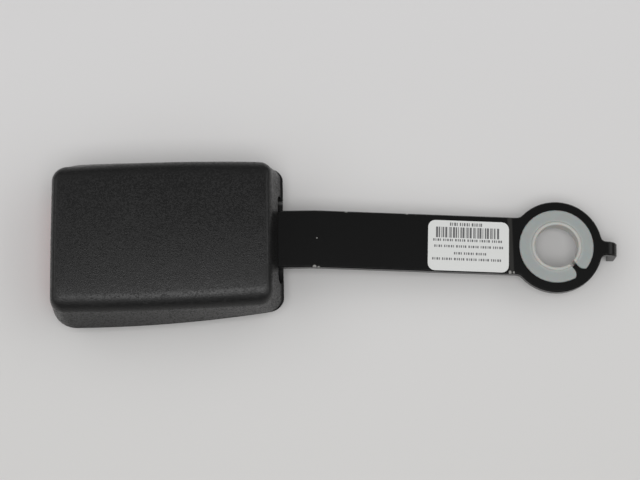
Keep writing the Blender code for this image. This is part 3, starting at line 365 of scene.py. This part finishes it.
def natural_acetal():
    """Moulded acetal: waxy, a little light passes under its skin."""
    material, tree = new_material("natural_acetal")
    place = add(tree, "ShaderNodeTexCoord").outputs["Object"]
    skin = add(tree, "ShaderNodeTexNoise", {"Scale": 1 / ACETAL_SKIN, "Detail": 3.0}, {"Vector": place})
    gloss = add(
        tree,
        "ShaderNodeMapRange",
        {"To Min": ACETAL_ROUGHNESS[0], "To Max": ACETAL_ROUGHNESS[1]},
        {"Value": skin.outputs["Fac"]},
    )
    bump = add(
        tree,
        "ShaderNodeBump",
        {"Strength": 0.2, "Distance": SKIN_RELIEF},
        {"Height": skin.outputs["Fac"]},
    )
    shader = add(
        tree,
        "ShaderNodeBsdfPrincipled",
        {
            "Base Color": linear(ACETAL),
            "Subsurface Weight": 0.2,
            "Subsurface Scale": ACETAL_DEPTH,
            "IOR": 1.48,
        },
        {"Roughness": gloss.outputs[0], "Normal": bump.outputs[0]},
    )
    add(tree, "ShaderNodeOutputMaterial", {}, {"Surface": shader.outputs[0]})
    return material


add_eased("ejector_slide", "ejector", MOULDED_EDGE, natural_acetal(), "ejector")


# Release button
# Red ABS from a satin mould, with a rounded face that the thumb presses towards the stalk. Two
# springs behind it push it back out.

BUTTON_RED = "#b5141a"
BUTTON_ROUGHNESS = (0.32, 0.46)
BUTTON_SKIN = 0.3 * MM


def satin_red_abs():
    """ABS from a satin mould: even colour, with a very fine skin that dulls the gloss."""
    material, tree = new_material("satin_red_abs")
    place = add(tree, "ShaderNodeTexCoord").outputs["Object"]
    skin = add(tree, "ShaderNodeTexNoise", {"Scale": 1 / BUTTON_SKIN, "Detail": 2.0}, {"Vector": place})
    gloss = add(
        tree,
        "ShaderNodeMapRange",
        {"To Min": BUTTON_ROUGHNESS[0], "To Max": BUTTON_ROUGHNESS[1]},
        {"Value": skin.outputs["Fac"]},
    )
    bump = add(
        tree,
        "ShaderNodeBump",
        {"Strength": 0.25, "Distance": SKIN_RELIEF},
        {"Height": skin.outputs["Fac"]},
    )
    shader = add(
        tree,
        "ShaderNodeBsdfPrincipled",
        {"Base Color": linear(BUTTON_RED)},
        {"Roughness": gloss.outputs[0], "Normal": bump.outputs[0]},
    )
    add(tree, "ShaderNodeOutputMaterial", {}, {"Surface": shader.outputs[0]})
    return material


red_abs = satin_red_abs()
add_eased("release_button_moulding", "release_button", MOULDED_EDGE, red_abs, "button")


# Springs
# Four coils of drawn 0.6 mm music wire. Each keeps one end where the frame, the strap or the front
# cover holds it.

WIRE_GREY = "#8d9093"
WIRE_ROUGHNESS = (0.25, 0.4)
DRAW_LINE = 0.1 * MM

# Each spring's node, its joint, the axis of its coil and the share of its length at the joint's limit.
SPRINGS = (
    ("button_spring_left", "button_press", (1, 0, 0), 0.55),
    ("button_spring_right", "button_press", (1, 0, 0), 0.55),
    ("ejector_spring", "ejector_slide", (1, 0, 0), 0.51),
    ("latch_spring", "latch_swing", (0, 0, 1), 0.6),
)


def drawn_wire():
    """Phosphated music wire: dark, with fine draw lines."""
    material, tree = new_material("drawn_music_wire")
    place = add(tree, "ShaderNodeTexCoord").outputs["Object"]
    line = add(tree, "ShaderNodeTexNoise", {"Scale": 1 / DRAW_LINE, "Detail": 1.0}, {"Vector": place})
    polish = add(
        tree,
        "ShaderNodeMapRange",
        {"To Min": WIRE_ROUGHNESS[0], "To Max": WIRE_ROUGHNESS[1]},
        {"Value": line.outputs["Fac"]},
    )
    shader = add(
        tree,
        "ShaderNodeBsdfPrincipled",
        {"Base Color": linear(WIRE_GREY), "Metallic": 1.0},
        {"Roughness": polish.outputs[0]},
    )
    add(tree, "ShaderNodeOutputMaterial", {}, {"Surface": shader.outputs[0]})
    return material


def coil_copy(node):
    """A spring's coil, merged so that its wire shades round."""
    bm = bmesh.new()
    bm.from_mesh(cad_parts[node].data)
    bmesh.ops.remove_doubles(bm, verts=bm.verts, dist=WELD)
    return bm


wire = drawn_wire()
for node, joint, axis, share_left in SPRINGS:
    spring = add_piece(f"{node}_wire", coil_copy(node), wire, "housing", [node])
    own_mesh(spring)


# Stalk
# One stamping of 3 mm steel: strap, eye and a stop tab folded down. Black electro-coat covers it, chipped
# to the steel at a few places, mostly on edges. Across the bend by the eye it is painted grey, a painted
# highlight where the bend catches the light.

COAT_BLACK = "#060606"
COAT_BEND_HIGHLIGHT = "#3a3937"
COAT_ROUGHNESS = (0.2, 0.3)
BARE_STEEL = "#8c8b88"
STALK_EASE = 0.12 * MM
ORANGE_PEEL = 1.6 * MM
ORANGE_PEEL_RELIEF = 0.02 * MM
COAT_DUST = 0.25 * MM
# Where the coat is painted lighter grey across the eye's bend, a painted highlight.
EYE_BEND = 64.2 * MM
EYE_BEND_HALF = 1.1 * MM
EYE_BEND_HIGHLIGHT = 0.55

# Each chip's centre and radius, in mm.
CHIPS = (
    ((-7.9, -10.6, 13.4), 0.7),
    ((-6.4, -10.7, 13.2), 0.45),
    ((63.6, -13.1, 10.3), 0.6),
    ((65.0, -13.2, 10.2), 0.45),
    ((4.0, 10.2, 13.1), 0.6),
    ((26.4, 9.2, 12.1), 0.5),
    ((-6.9, 0.1, 13.7), 0.25),
)
CHIP_RAGGED = 0.35 * MM


def spot_mask(tree, place, ragged, centre, radius):
    """1 inside a ragged round spot about a point of the piece, 0 outside."""
    reach = add(tree, "ShaderNodeVectorMath", {"operation": "DISTANCE"}, {0: place})
    reach.inputs[1].default_value = Vector(centre) * MM
    noisy = add(tree, "ShaderNodeMath", {"operation": "MULTIPLY_ADD", 1: CHIP_RAGGED}, {0: ragged})
    tree.links.new(reach.outputs["Value"], noisy.inputs[2])
    limit = radius * MM + CHIP_RAGGED / 2
    inside = add(tree, "ShaderNodeMath", {"operation": "LESS_THAN", 1: limit}, {0: noisy.outputs[0]})
    return inside.outputs[0]


def black_coat():
    """Black electro-coat: smooth, very slightly rippled, with chips down to the steel, and a painted
    highlight across the bend by the eye.
    """
    material, tree = new_material("black_coated_steel")
    place = add(tree, "ShaderNodeTexCoord").outputs["Object"]
    peel = add(tree, "ShaderNodeTexNoise", {"Scale": 1 / ORANGE_PEEL, "Detail": 3.0}, {"Vector": place})
    dust = add(tree, "ShaderNodeTexNoise", {"Scale": 1 / COAT_DUST, "Detail": 2.0}, {"Vector": place})
    gloss = add(
        tree,
        "ShaderNodeMapRange",
        {"To Min": COAT_ROUGHNESS[0], "To Max": COAT_ROUGHNESS[1]},
        {"Value": dust.outputs["Fac"]},
    )
    bump = add(
        tree,
        "ShaderNodeBump",
        {"Strength": 0.2, "Distance": ORANGE_PEEL_RELIEF},
        {"Height": peel.outputs["Fac"]},
    )
    # Painted highlight: the coat is painted lighter grey across the bend by the eye.
    along = add(tree, "ShaderNodeSeparateXYZ", {}, {"Vector": place}).outputs["X"]
    past_bend = add(tree, "ShaderNodeMath", {"operation": "SUBTRACT", 1: EYE_BEND}, {0: along})
    off_bend = add(tree, "ShaderNodeMath", {"operation": "ABSOLUTE"}, {0: past_bend.outputs[0]})
    bend_highlight = add(
        tree,
        "ShaderNodeMapRange",
        {"From Min": EYE_BEND_HALF, "From Max": EYE_BEND_HALF / 2, "To Max": EYE_BEND_HIGHLIGHT},
        {"Value": off_bend.outputs[0]},
    )
    coat = add(
        tree,
        "ShaderNodeMix",
        {"data_type": "RGBA", MIX_FROM: linear(COAT_BLACK), MIX_TO: linear(COAT_BEND_HIGHLIGHT)},
        {0: bend_highlight.outputs[0]},
    )
    chipped = None
    for centre, radius in CHIPS:
        mask = spot_mask(tree, place, dust.outputs["Fac"], centre, radius)
        if chipped:
            mask = add(tree, "ShaderNodeMath", {"operation": "MAXIMUM"}, {0: chipped, 1: mask}).outputs[0]
        chipped = mask
    colour = add(
        tree,
        "ShaderNodeMix",
        {"data_type": "RGBA", MIX_TO: linear(BARE_STEEL)},
        {0: chipped, MIX_FROM: coat.outputs[MIX_RESULT]},
    )
    shader = add(
        tree,
        "ShaderNodeBsdfPrincipled",
        {"Specular IOR Level": 0.3},
        {"Base Color": colour.outputs[MIX_RESULT], "Roughness": gloss.outputs[0], "Normal": bump.outputs[0]},
    )
    add(tree, "ShaderNodeOutputMaterial", {}, {"Surface": shader.outputs[0]})
    return material


add_eased("stalk_stamping", "stalk", STALK_EASE, black_coat(), "housing")


# Eye bush
# A split bush moulded in natural nylon, milky and a little see-through. It springs into the eye
# through its slit and keeps the anchor bolt from the steel.

NYLON_COOL = "#919897"
NYLON_WARM = "#9c9f9d"
# The rim round the bore is painted paler, a painted highlight on its rounded edge.
NYLON_RIM_HIGHLIGHT = "#b0b0ab"
NYLON_RIM_HIGHLIGHT_REACH = (10.2 * MM, 8.6 * MM)
NYLON_FLOW = 6.0 * MM
NYLON_DEPTH = 1.5 * MM
NYLON_EDGE = 0.25 * MM


def natural_nylon():
    """Natural nylon: milky, light goes a millimetre or two into it. Around its bore it is painted paler, a
    painted highlight on the rounded rim.
    """
    material, tree = new_material("natural_nylon")
    place = add(tree, "ShaderNodeTexCoord").outputs["Object"]
    flow = add(tree, "ShaderNodeTexNoise", {"Scale": 1 / NYLON_FLOW, "Detail": 2.0}, {"Vector": place})
    body = add(
        tree,
        "ShaderNodeMix",
        {"data_type": "RGBA", MIX_FROM: linear(NYLON_COOL), MIX_TO: linear(NYLON_WARM)},
        {0: flow.outputs["Fac"]},
    )
    bush_low, bush_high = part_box("eye_bush")
    from_hub = add(tree, "ShaderNodeVectorMath", {"operation": "SUBTRACT"}, {0: place})
    from_hub.inputs[1].default_value = (bush_low + bush_high) / 2
    flat = add(tree, "ShaderNodeVectorMath", {"operation": "MULTIPLY"}, {0: from_hub.outputs[0]})
    flat.inputs[1].default_value = (1, 1, 0)
    radius = add(tree, "ShaderNodeVectorMath", {"operation": "LENGTH"}, {0: flat.outputs[0]})
    # Painted highlight: the colour turns paler towards the bore's rim.
    bore_highlight = add(
        tree,
        "ShaderNodeMapRange",
        {"From Min": NYLON_RIM_HIGHLIGHT_REACH[0], "From Max": NYLON_RIM_HIGHLIGHT_REACH[1]},
        {"Value": radius.outputs["Value"]},
    )
    tint = add(
        tree,
        "ShaderNodeMix",
        {"data_type": "RGBA", MIX_TO: linear(NYLON_RIM_HIGHLIGHT)},
        {0: bore_highlight.outputs[0], MIX_FROM: body.outputs[MIX_RESULT]},
    )
    shader = add(
        tree,
        "ShaderNodeBsdfPrincipled",
        {"Roughness": 0.45, "Subsurface Weight": 0.3, "Subsurface Scale": NYLON_DEPTH, "IOR": 1.53},
        {"Base Color": tint.outputs[MIX_RESULT]},
    )
    add(tree, "ShaderNodeOutputMaterial", {}, {"Surface": shader.outputs[0]})
    return material


add_eased("eye_bush_moulding", "eye_bush", NYLON_EDGE, natural_nylon(), "housing")


# Label
# A white film label stuck to the sloping strap. Its thermal print is left as plain bars and rows
# of dashes, which stand for a stock label's code and lines of text.

FILM_WHITE = "#d2d3d1"
PRINT_GREY = "#5b5b5c"
FILM_ROUGHNESS = 0.5
PRINT_ROUGHNESS = 0.6
ROUGHNESS_DRIFT = 0.08
FILM_TOOTH = 0.15 * MM
TOOTH_RELIEF = 0.01 * MM
FILM_EDGE = 0.03 * MM
FILM_HALF = 0.075 * MM
INK = 0.02 * MM
STRAP_DESCENT = 3.2 * MM
STRAP_RUN = 73.5 * MM
STRAP_SLOPE = math.asin(STRAP_DESCENT / STRAP_RUN)
STRAP_SKEW = math.radians(2.45)
PRINT_CORNER = Vector((-14.9, -9.45, 0)) * MM

# The bars and dashes in mm, from the print's corner by the housing: along the label for their spans
# and widths, across it for their rows. A line of dashes gives its middle, start, end and height.
BAR_SPAN = (2.9, 26.2)
BAR_ROWS = (12.4, 16.4)
BAR_WIDTHS = (0.75, 0.5, 0.25, 0.5, 0.75, 0.25, 0.5)
BAR_GAPS = (0.25, 0.5, 0.25, 0.4, 0.6)
DASH_WIDTHS = (0.5, 0.3, 0.6, 0.35, 0.45, 0.3, 0.55)
DASH_GAPS = (0.35, 0.45, 0.3, 0.8, 0.4)
DASH_LINES = (
    (17.5, 8.0, 20.8, 1.2),
    (11.5, 1.9, 27.6, 0.9),
    (9.2, 2.3, 27.8, 0.9),
    (6.6, 9.6, 22.4, 0.9),
    (4.4, 1.6, 27.9, 0.9),
)


def film(name, hex_colour, roughness):
    """Coated film or thermal ink: matt, with the faint tooth of its face coat."""
    material, tree = new_material(name)
    place = add(tree, "ShaderNodeTexCoord").outputs["Object"]
    tooth = add(tree, "ShaderNodeTexNoise", {"Scale": 1 / FILM_TOOTH, "Detail": 2.0}, {"Vector": place})
    gloss = add(
        tree,
        "ShaderNodeMapRange",
        {"To Min": roughness - ROUGHNESS_DRIFT, "To Max": roughness + ROUGHNESS_DRIFT},
        {"Value": tooth.outputs["Fac"]},
    )
    bump = add(
        tree,
        "ShaderNodeBump",
        {"Strength": 0.15, "Distance": TOOTH_RELIEF},
        {"Height": tooth.outputs["Fac"]},
    )
    shader = add(
        tree,
        "ShaderNodeBsdfPrincipled",
        {"Base Color": linear(hex_colour)},
        {"Roughness": gloss.outputs[0], "Normal": bump.outputs[0]},
    )
    add(tree, "ShaderNodeOutputMaterial", {}, {"Surface": shader.outputs[0]})
    return material


label_low, label_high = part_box("label")
label_turn = Matrix.Rotation(-STRAP_SKEW, 4, "Z") @ Matrix.Rotation(STRAP_SLOPE, 4, "Y")
label_place = Matrix.Translation((label_low + label_high) / 2) @ label_turn


def print_mark(bm, start, width, middle, height):
    """One thin block of ink on the film, with its place and size in mm."""
    centre = Vector((start + width / 2, middle, 0)) * MM + PRINT_CORNER
    centre.z = FILM_HALF + INK / 2
    cube = bmesh.ops.create_cube(bm, size=1.0)["verts"]
    bmesh.ops.scale(bm, verts=cube, vec=(width * MM, height * MM, INK))
    bmesh.ops.translate(bm, verts=cube, vec=centre)


def print_row(bm, span, widths, gaps, middle, height):
    """Marks side by side along a span, with the widths and gaps taken in turn."""
    reached = span[0]
    turn = 0
    while reached + widths[turn % len(widths)] <= span[1]:
        width = widths[turn % len(widths)]
        print_mark(bm, reached, width, middle, height)
        reached += width + gaps[turn % len(gaps)]
        turn += 1


white_film = film("matt_white_film", FILM_WHITE, FILM_ROUGHNESS)
add_eased("label_film", "label", FILM_EDGE, white_film, "housing")
print_bm = bmesh.new()
print_row(print_bm, BAR_SPAN, BAR_WIDTHS, BAR_GAPS, sum(BAR_ROWS) / 2, BAR_ROWS[1] - BAR_ROWS[0])
for middle, start, end, height in DASH_LINES:
    print_row(print_bm, (start, end), DASH_WIDTHS, DASH_GAPS, middle, height)
bmesh.ops.transform(print_bm, matrix=label_place, verts=print_bm.verts)
thermal_print = film("thermal_print", PRINT_GREY, PRINT_ROUGHNESS)
add_piece("label_print", print_bm, thermal_print, "housing")


# Covers
# Two shells of black ABS with a fine spark-eroded grain, which snap together along a seam. Slides
# in the mould leave the tongue's mouth, the button's opening and the slot for the strap.

ABS_DARK = "#0b0b0b"
ABS_LIGHT = "#101010"
# The inside and the cut faces are painted darker, a painted shade for the slot and the shell's inside.
ABS_INSIDE_SHADE = "#080808"
GRAIN_ROUGHNESS = (0.28, 0.6)
POLISH_ROUGHNESS = (0.3, 0.38)
COVER_GRAIN = 0.36 * MM
GRAIN_DEPTH = 0.1 * MM
GRAIN_BITE = (0.6, 1.0)
FACET = 0.45 * MM
GLINTING_SHARE = 0.45
COVER_CLOUD = 14.0 * MM

# The plan at the seam and at the rear cover's face: half widths, corners and where it is widest.
SEAM_STALK_HALF = 26.6 * MM
SEAM_WIDEST = 20.0 * MM
SEAM_MOUTH_CORNER = 9.0 * MM
SEAM_STALK_CORNER = 5.0 * MM
FACE_HALF = 27.7 * MM
FACE_STALK_HALF = 26.4 * MM
FACE_WIDEST = 35.0 * MM
FACE_MOUTH_CORNER = 5.5 * MM
FACE_STALK_CORNER = 5.0 * MM
SIDE_LEAN = 0.018

# The profile: wall, seam, drafted ends, rolled edges and crown, and the front cover's own edge.
COVER_WALL = 2.2 * MM
SEAM_GAP_HALF = 0.15 * MM
SEAM_ROUND = 0.25 * MM
MOUTH_DRAFT = 0.5 * MM
STALK_DRAFT = 2.6 * MM
EDGE_DROP = 5.5 * MM
EDGE_RUN = 6.2 * MM
END_RUN = 2.6 * MM
CROWN_ACROSS = 1.2 * MM
CROWN_ALONG = 0.8 * MM
FRONT_OVERREACH = 0.8 * MM
FRONT_DRAFT = 1.2 * MM
FRONT_EDGE = 4.5 * MM

# The openings: the tongue's mouth, the button's window and the strap's slot.
MOUTH_HALF = 14.0 * MM
MOUTH_TOP = 14.2 * MM
BUTTON_GAP = 0.4 * MM
WINDOW_END = 13.2 * MM
SLOT_HALF = 16.5 * MM
SLOT_LOW = 9.2 * MM
SLOT_HIGH = 14.5 * MM
SLOT_INWARDS = 3.0 * MM
SLOT_RUN = 12.0 * MM
PAST = 2.0 * MM

CORNER_STEPS = 12
SIDE_STEPS = 28
END_STEPS = 14
EDGE_STEPS = 12
CROWN_SHARES = (0.2, 0.4, 0.6, 0.8, 0.97)
INSIDE = 1

rear_low, rear_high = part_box("rear_cover")
button_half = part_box("release_button")[1].y
COVER_LENGTH = rear_high.x - rear_low.x
COVER_HEIGHT = rear_high.z
SEAM_HALF = rear_high.y
SEAM = rear_low.z - SEAM_GAP_HALF


def spark_eroded_abs():
    """Black ABS from a spark-eroded mould: a fine grain whose small facets glint."""
    material, tree = new_material("grained_black_abs")
    place = add(tree, "ShaderNodeTexCoord").outputs["Object"]
    grain = add(tree, "ShaderNodeTexNoise", {"Scale": 1 / COVER_GRAIN, "Detail": 2.5}, {"Vector": place})
    cloud = add(tree, "ShaderNodeTexNoise", {"Scale": 1 / COVER_CLOUD, "Detail": 3.0}, {"Vector": place})
    tint = add(
        tree,
        "ShaderNodeMix",
        {"data_type": "RGBA", MIX_FROM: linear(ABS_DARK), MIX_TO: linear(ABS_LIGHT)},
        {0: cloud.outputs["Fac"]},
    )
    facets = add(tree, "ShaderNodeTexVoronoi", {"Scale": 1 / FACET}, {"Vector": place})
    glint = add(tree, "ShaderNodeSeparateXYZ", {}, {"Vector": facets.outputs["Color"]}).outputs["X"]
    gloss = add(
        tree,
        "ShaderNodeMapRange",
        {"From Min": GLINTING_SHARE, "To Min": GRAIN_ROUGHNESS[0], "To Max": GRAIN_ROUGHNESS[1]},
        {"Value": glint},
    )
    bite = add(
        tree,
        "ShaderNodeMapRange",
        {"To Min": GRAIN_BITE[0], "To Max": GRAIN_BITE[1]},
        {"Value": cloud.outputs["Fac"]},
    )
    bump = add(
        tree,
        "ShaderNodeBump",
        {"Distance": GRAIN_DEPTH},
        {"Height": grain.outputs["Fac"], "Strength": bite.outputs[0]},
    )
    shader = add(
        tree,
        "ShaderNodeBsdfPrincipled",
        {"Specular IOR Level": 0.4},
        {"Base Color": tint.outputs[MIX_RESULT], "Roughness": gloss.outputs[0], "Normal": bump.outputs[0]},
    )
    add(tree, "ShaderNodeOutputMaterial", {}, {"Surface": shader.outputs[0]})
    return material


def polished_shaded_abs():
    """The same black ABS where the mould is polished: smooth, with a trace of flow, and painted darker than
    the outside as painted shade in the slot and inside the shell.
    """
    material, tree = new_material("polished_black_abs_shaded")
    place = add(tree, "ShaderNodeTexCoord").outputs["Object"]
    flow = add(tree, "ShaderNodeTexNoise", {"Scale": 1 / COVER_CLOUD, "Detail": 2.0}, {"Vector": place})
    gloss = add(
        tree,
        "ShaderNodeMapRange",
        {"To Min": POLISH_ROUGHNESS[0], "To Max": POLISH_ROUGHNESS[1]},
        {"Value": flow.outputs["Fac"]},
    )
    shader = add(
        tree,
        "ShaderNodeBsdfPrincipled",
        {"Base Color": linear(ABS_INSIDE_SHADE), "Specular IOR Level": 0.25},
        {"Roughness": gloss.outputs[0]},
    )
    add(tree, "ShaderNodeOutputMaterial", {}, {"Surface": shader.outputs[0]})
    return material


def mix(low, high, share):
    """A value part of the way from one to another."""
    return low + (high - low) * share


def arc(centre, radius, start, end, steps):
    """Points of a round stretch in a plane, both ends included, angles in radians."""
    turns = [mix(start, end, step / steps) for step in range(steps + 1)]
    return [(centre[0] + radius * math.cos(a), centre[1] + radius * math.sin(a)) for a in turns]


def straight(start, end, steps):
    """Points inside a straight stretch, both ends left out."""
    return [(mix(start[0], end[0], k / steps), mix(start[1], end[1], k / steps)) for k in range(1, steps)]


def cover_plan(share, inset, stalk_extra, end_inset=None):
    """The covers in plan, at the seam for a share of 0 and at the rear cover's face for 1.

    The long sides bow outwards, and they lean by a degree against the mouth.
    """
    if end_inset is None:
        end_inset = inset
    low_x = MOUTH_DRAFT * share + end_inset
    high_x = COVER_LENGTH - STALK_DRAFT * share + stalk_extra - end_inset
    widest = mix(SEAM_HALF, FACE_HALF, share)
    narrowest = mix(SEAM_STALK_HALF, FACE_STALK_HALF, share)
    widest_at = mix(SEAM_WIDEST, FACE_WIDEST, share)
    bow = (widest - narrowest) / (COVER_LENGTH - widest_at) ** 2
    half = widest - inset
    mouth_corner = max(mix(SEAM_MOUTH_CORNER, FACE_MOUTH_CORNER, share) - inset, COVER_WALL)
    stalk_corner = max(mix(SEAM_STALK_CORNER, FACE_STALK_CORNER, share) - inset, COVER_WALL)
    quarter = math.pi / 2
    stalk_side = arc((high_x - stalk_corner, half - stalk_corner), stalk_corner, 0, quarter, CORNER_STEPS)
    mouth_centre = (low_x + mouth_corner, half - mouth_corner)
    mouth_side = arc(mouth_centre, mouth_corner, quarter, 2 * quarter, CORNER_STEPS)
    upper = stalk_side + straight(stalk_side[-1], mouth_side[0], SIDE_STEPS) + mouth_side
    lower = [(x, -y) for x, y in reversed(upper)]
    mouth_end = straight(upper[-1], lower[0], END_STEPS)
    stalk_end = straight(lower[-1], upper[0], END_STEPS)
    ring = upper + mouth_end + lower + stalk_end
    bowed = [(x, y * (half - bow * (x - widest_at) ** 2) / half) for x, y in ring]
    return [(x, y + SIDE_LEAN * (x - COVER_LENGTH / 2)) for x, y in bowed]


def crown(x, y, top):
    """The height of the rear cover's gently domed face."""
    along = 2 * x / COVER_LENGTH - 1
    return top - CROWN_ALONG * along**2 - CROWN_ACROSS * (y / FACE_HALF) ** 2


def seam_rings(start, rise, inset, stalk_extra):
    """The rim at the seam, with its corner just broken."""
    rounded = cover_plan(0, inset + SEAM_ROUND, stalk_extra)
    full = cover_plan(0, inset, stalk_extra)
    return [[(x, y, start) for x, y in rounded], [(x, y, start + rise) for x, y in full]]


def rear_rings(inset):
    """One face of the rear cover, from the seam up to the middle of its crown."""
    top = COVER_HEIGHT - inset
    rings = seam_rings(SEAM + SEAM_GAP_HALF, SEAM_ROUND, inset, 0)
    for step in range(EDGE_STEPS + 1):
        turn = math.pi / 2 * step / EDGE_STEPS
        drop = EDGE_DROP * (1 - math.sin(turn))
        run, end_run = [inset + reach * (1 - math.cos(turn)) for reach in (EDGE_RUN, END_RUN)]
        rings.append([(x, y, crown(x, y, top) - drop) for x, y in cover_plan(1, run, 0, end_run)])
    for share in CROWN_SHARES:
        run = inset + mix(EDGE_RUN, FACE_STALK_HALF - inset, share)
        end_run = run - EDGE_RUN + END_RUN
        rings.append([(x, y, crown(x, y, top)) for x, y in cover_plan(1, run, 0, end_run)])
    return rings


def front_rings(inset):
    """One face of the front cover, from the seam down to its flat face."""
    rings = seam_rings(SEAM - SEAM_GAP_HALF, -SEAM_ROUND, inset, FRONT_OVERREACH)
    for step in range(EDGE_STEPS + 1):
        turn = math.pi / 2 * step / EDGE_STEPS
        run = FRONT_DRAFT + FRONT_EDGE * (1 - math.cos(turn))
        rise = FRONT_EDGE * (1 - math.sin(turn))
        rings.append([(x, y, inset + rise) for x, y in cover_plan(0, inset + run, FRONT_OVERREACH)])
    return rings


def shell(outer, inner):
    """A moulded shell: an outer and an inner skin through their rings, joined at the seam.

    The mould is grained outside only, so the inside and the seam are polished. The caps are cut
    into short triangles, so that the rear cover's follow its crown.
    """
    bm = bmesh.new()
    rings = [[bm.verts.new(point) for point in ring] for ring in inner[::-1] + outer]
    for number, (ring, next_ring) in enumerate(zip(rings, rings[1:])):
        sides = zip(ring, ring[1:] + ring[:1], next_ring[1:] + next_ring[:1], next_ring)
        for corners in sides:
            bm.faces.new(corners).material_index = INSIDE if number < len(inner) else 0
    caps = [bm.faces.new(rings[0]), bm.faces.new(rings[-1])]
    caps[0].material_index = INSIDE
    bmesh.ops.triangulate(bm, faces=caps, ngon_method="BEAUTY")
    return bm


def core(outline, run):
    """A slide of the mould: a flat outline drawn out along a run."""
    bm = bmesh.new()
    face = bm.faces.new([bm.verts.new(point) for point in outline])
    extruded = bmesh.ops.extrude_face_region(bm, geom=[face])["geom"]
    moved = [item for item in extruded if isinstance(item, bmesh.types.BMVert)]
    bmesh.ops.translate(bm, verts=moved, vec=run)
    for face in bm.faces:
        face.material_index = INSIDE
    return bm


def end_core(half, outline):
    """The slide at the mouth, from its outline seen from the side."""
    return core([(x, -half, z) for x, z in outline], (0, 2 * half, 0))


def slot_core():
    """The slide for the strap: a flat bar with round edges."""
    radius = (SLOT_HIGH - SLOT_LOW) / 2
    ends = arc((SLOT_HALF - radius, 0), radius, -math.pi / 2, math.pi / 2, CORNER_STEPS)
    ends += [(-y, -z) for y, z in ends]
    middle = (SLOT_HIGH + SLOT_LOW) / 2
    start = COVER_LENGTH - STALK_DRAFT - COVER_WALL - SLOT_INWARDS
    return core([(start, y, middle + z) for y, z in ends], (SLOT_RUN, 0, 0))


def with_openings(blank, cores):
    """The shell with the room of each core taken out of it. The cores leave polished faces."""
    helpers = []
    for bm in [blank] + cores:
        bmesh.ops.recalc_face_normals(bm, faces=bm.faces)
        mesh = bpy.data.meshes.new("moulding_blank")
        bm.to_mesh(mesh)
        bm.free()
        helpers.append(bpy.data.objects.new("moulding_blank", mesh))
        bpy.context.scene.collection.objects.link(helpers[-1])
    cover = helpers[0]
    for slide in helpers[1:]:
        opening = cover.modifiers.new("opening", "BOOLEAN")
        opening.object = slide
        opening.operation = "DIFFERENCE"
    bm = bmesh.new()
    bm.from_object(cover, bpy.context.evaluated_depsgraph_get())
    for helper in helpers:
        bpy.data.meshes.remove(helper.data)
    bmesh.ops.translate(bm, verts=bm.verts, vec=(rear_low.x, 0, 0))
    return bm


cover_plastic = spark_eroded_abs()
inside_plastic = polished_shaded_abs()
mouth_depth = COVER_WALL + MOUTH_DRAFT
mouth_core = end_core(
    MOUTH_HALF,
    [(-PAST, SEAM - PAST), (mouth_depth, SEAM - PAST), (mouth_depth, MOUTH_TOP), (-PAST, MOUTH_TOP)],
)
rear_shell = with_openings(shell(rear_rings(0), rear_rings(COVER_WALL)), [mouth_core, slot_core()])
rear_piece = add_piece(
    "rear_cover_shell", rear_shell, cover_plastic, "housing", ["rear_cover"]
)
rear_piece.data.materials.append(inside_plastic)

wall_depth = COVER_WALL + FRONT_DRAFT + FRONT_EDGE + BUTTON_GAP
window_top = COVER_WALL + SEAM_GAP_HALF
button_core = end_core(
    button_half + BUTTON_GAP,
    [
        (-PAST, -PAST),
        (WINDOW_END, -PAST),
        (WINDOW_END, window_top),
        (wall_depth, window_top),
        (wall_depth, SEAM + PAST),
        (-PAST, SEAM + PAST),
    ],
)
front_shell = with_openings(shell(front_rings(0), front_rings(COVER_WALL)), [button_core, slot_core()])
front_piece = add_piece(
    "front_cover_shell", front_shell, cover_plastic, "housing", ["front_cover"]
)
front_piece.data.materials.append(inside_plastic)
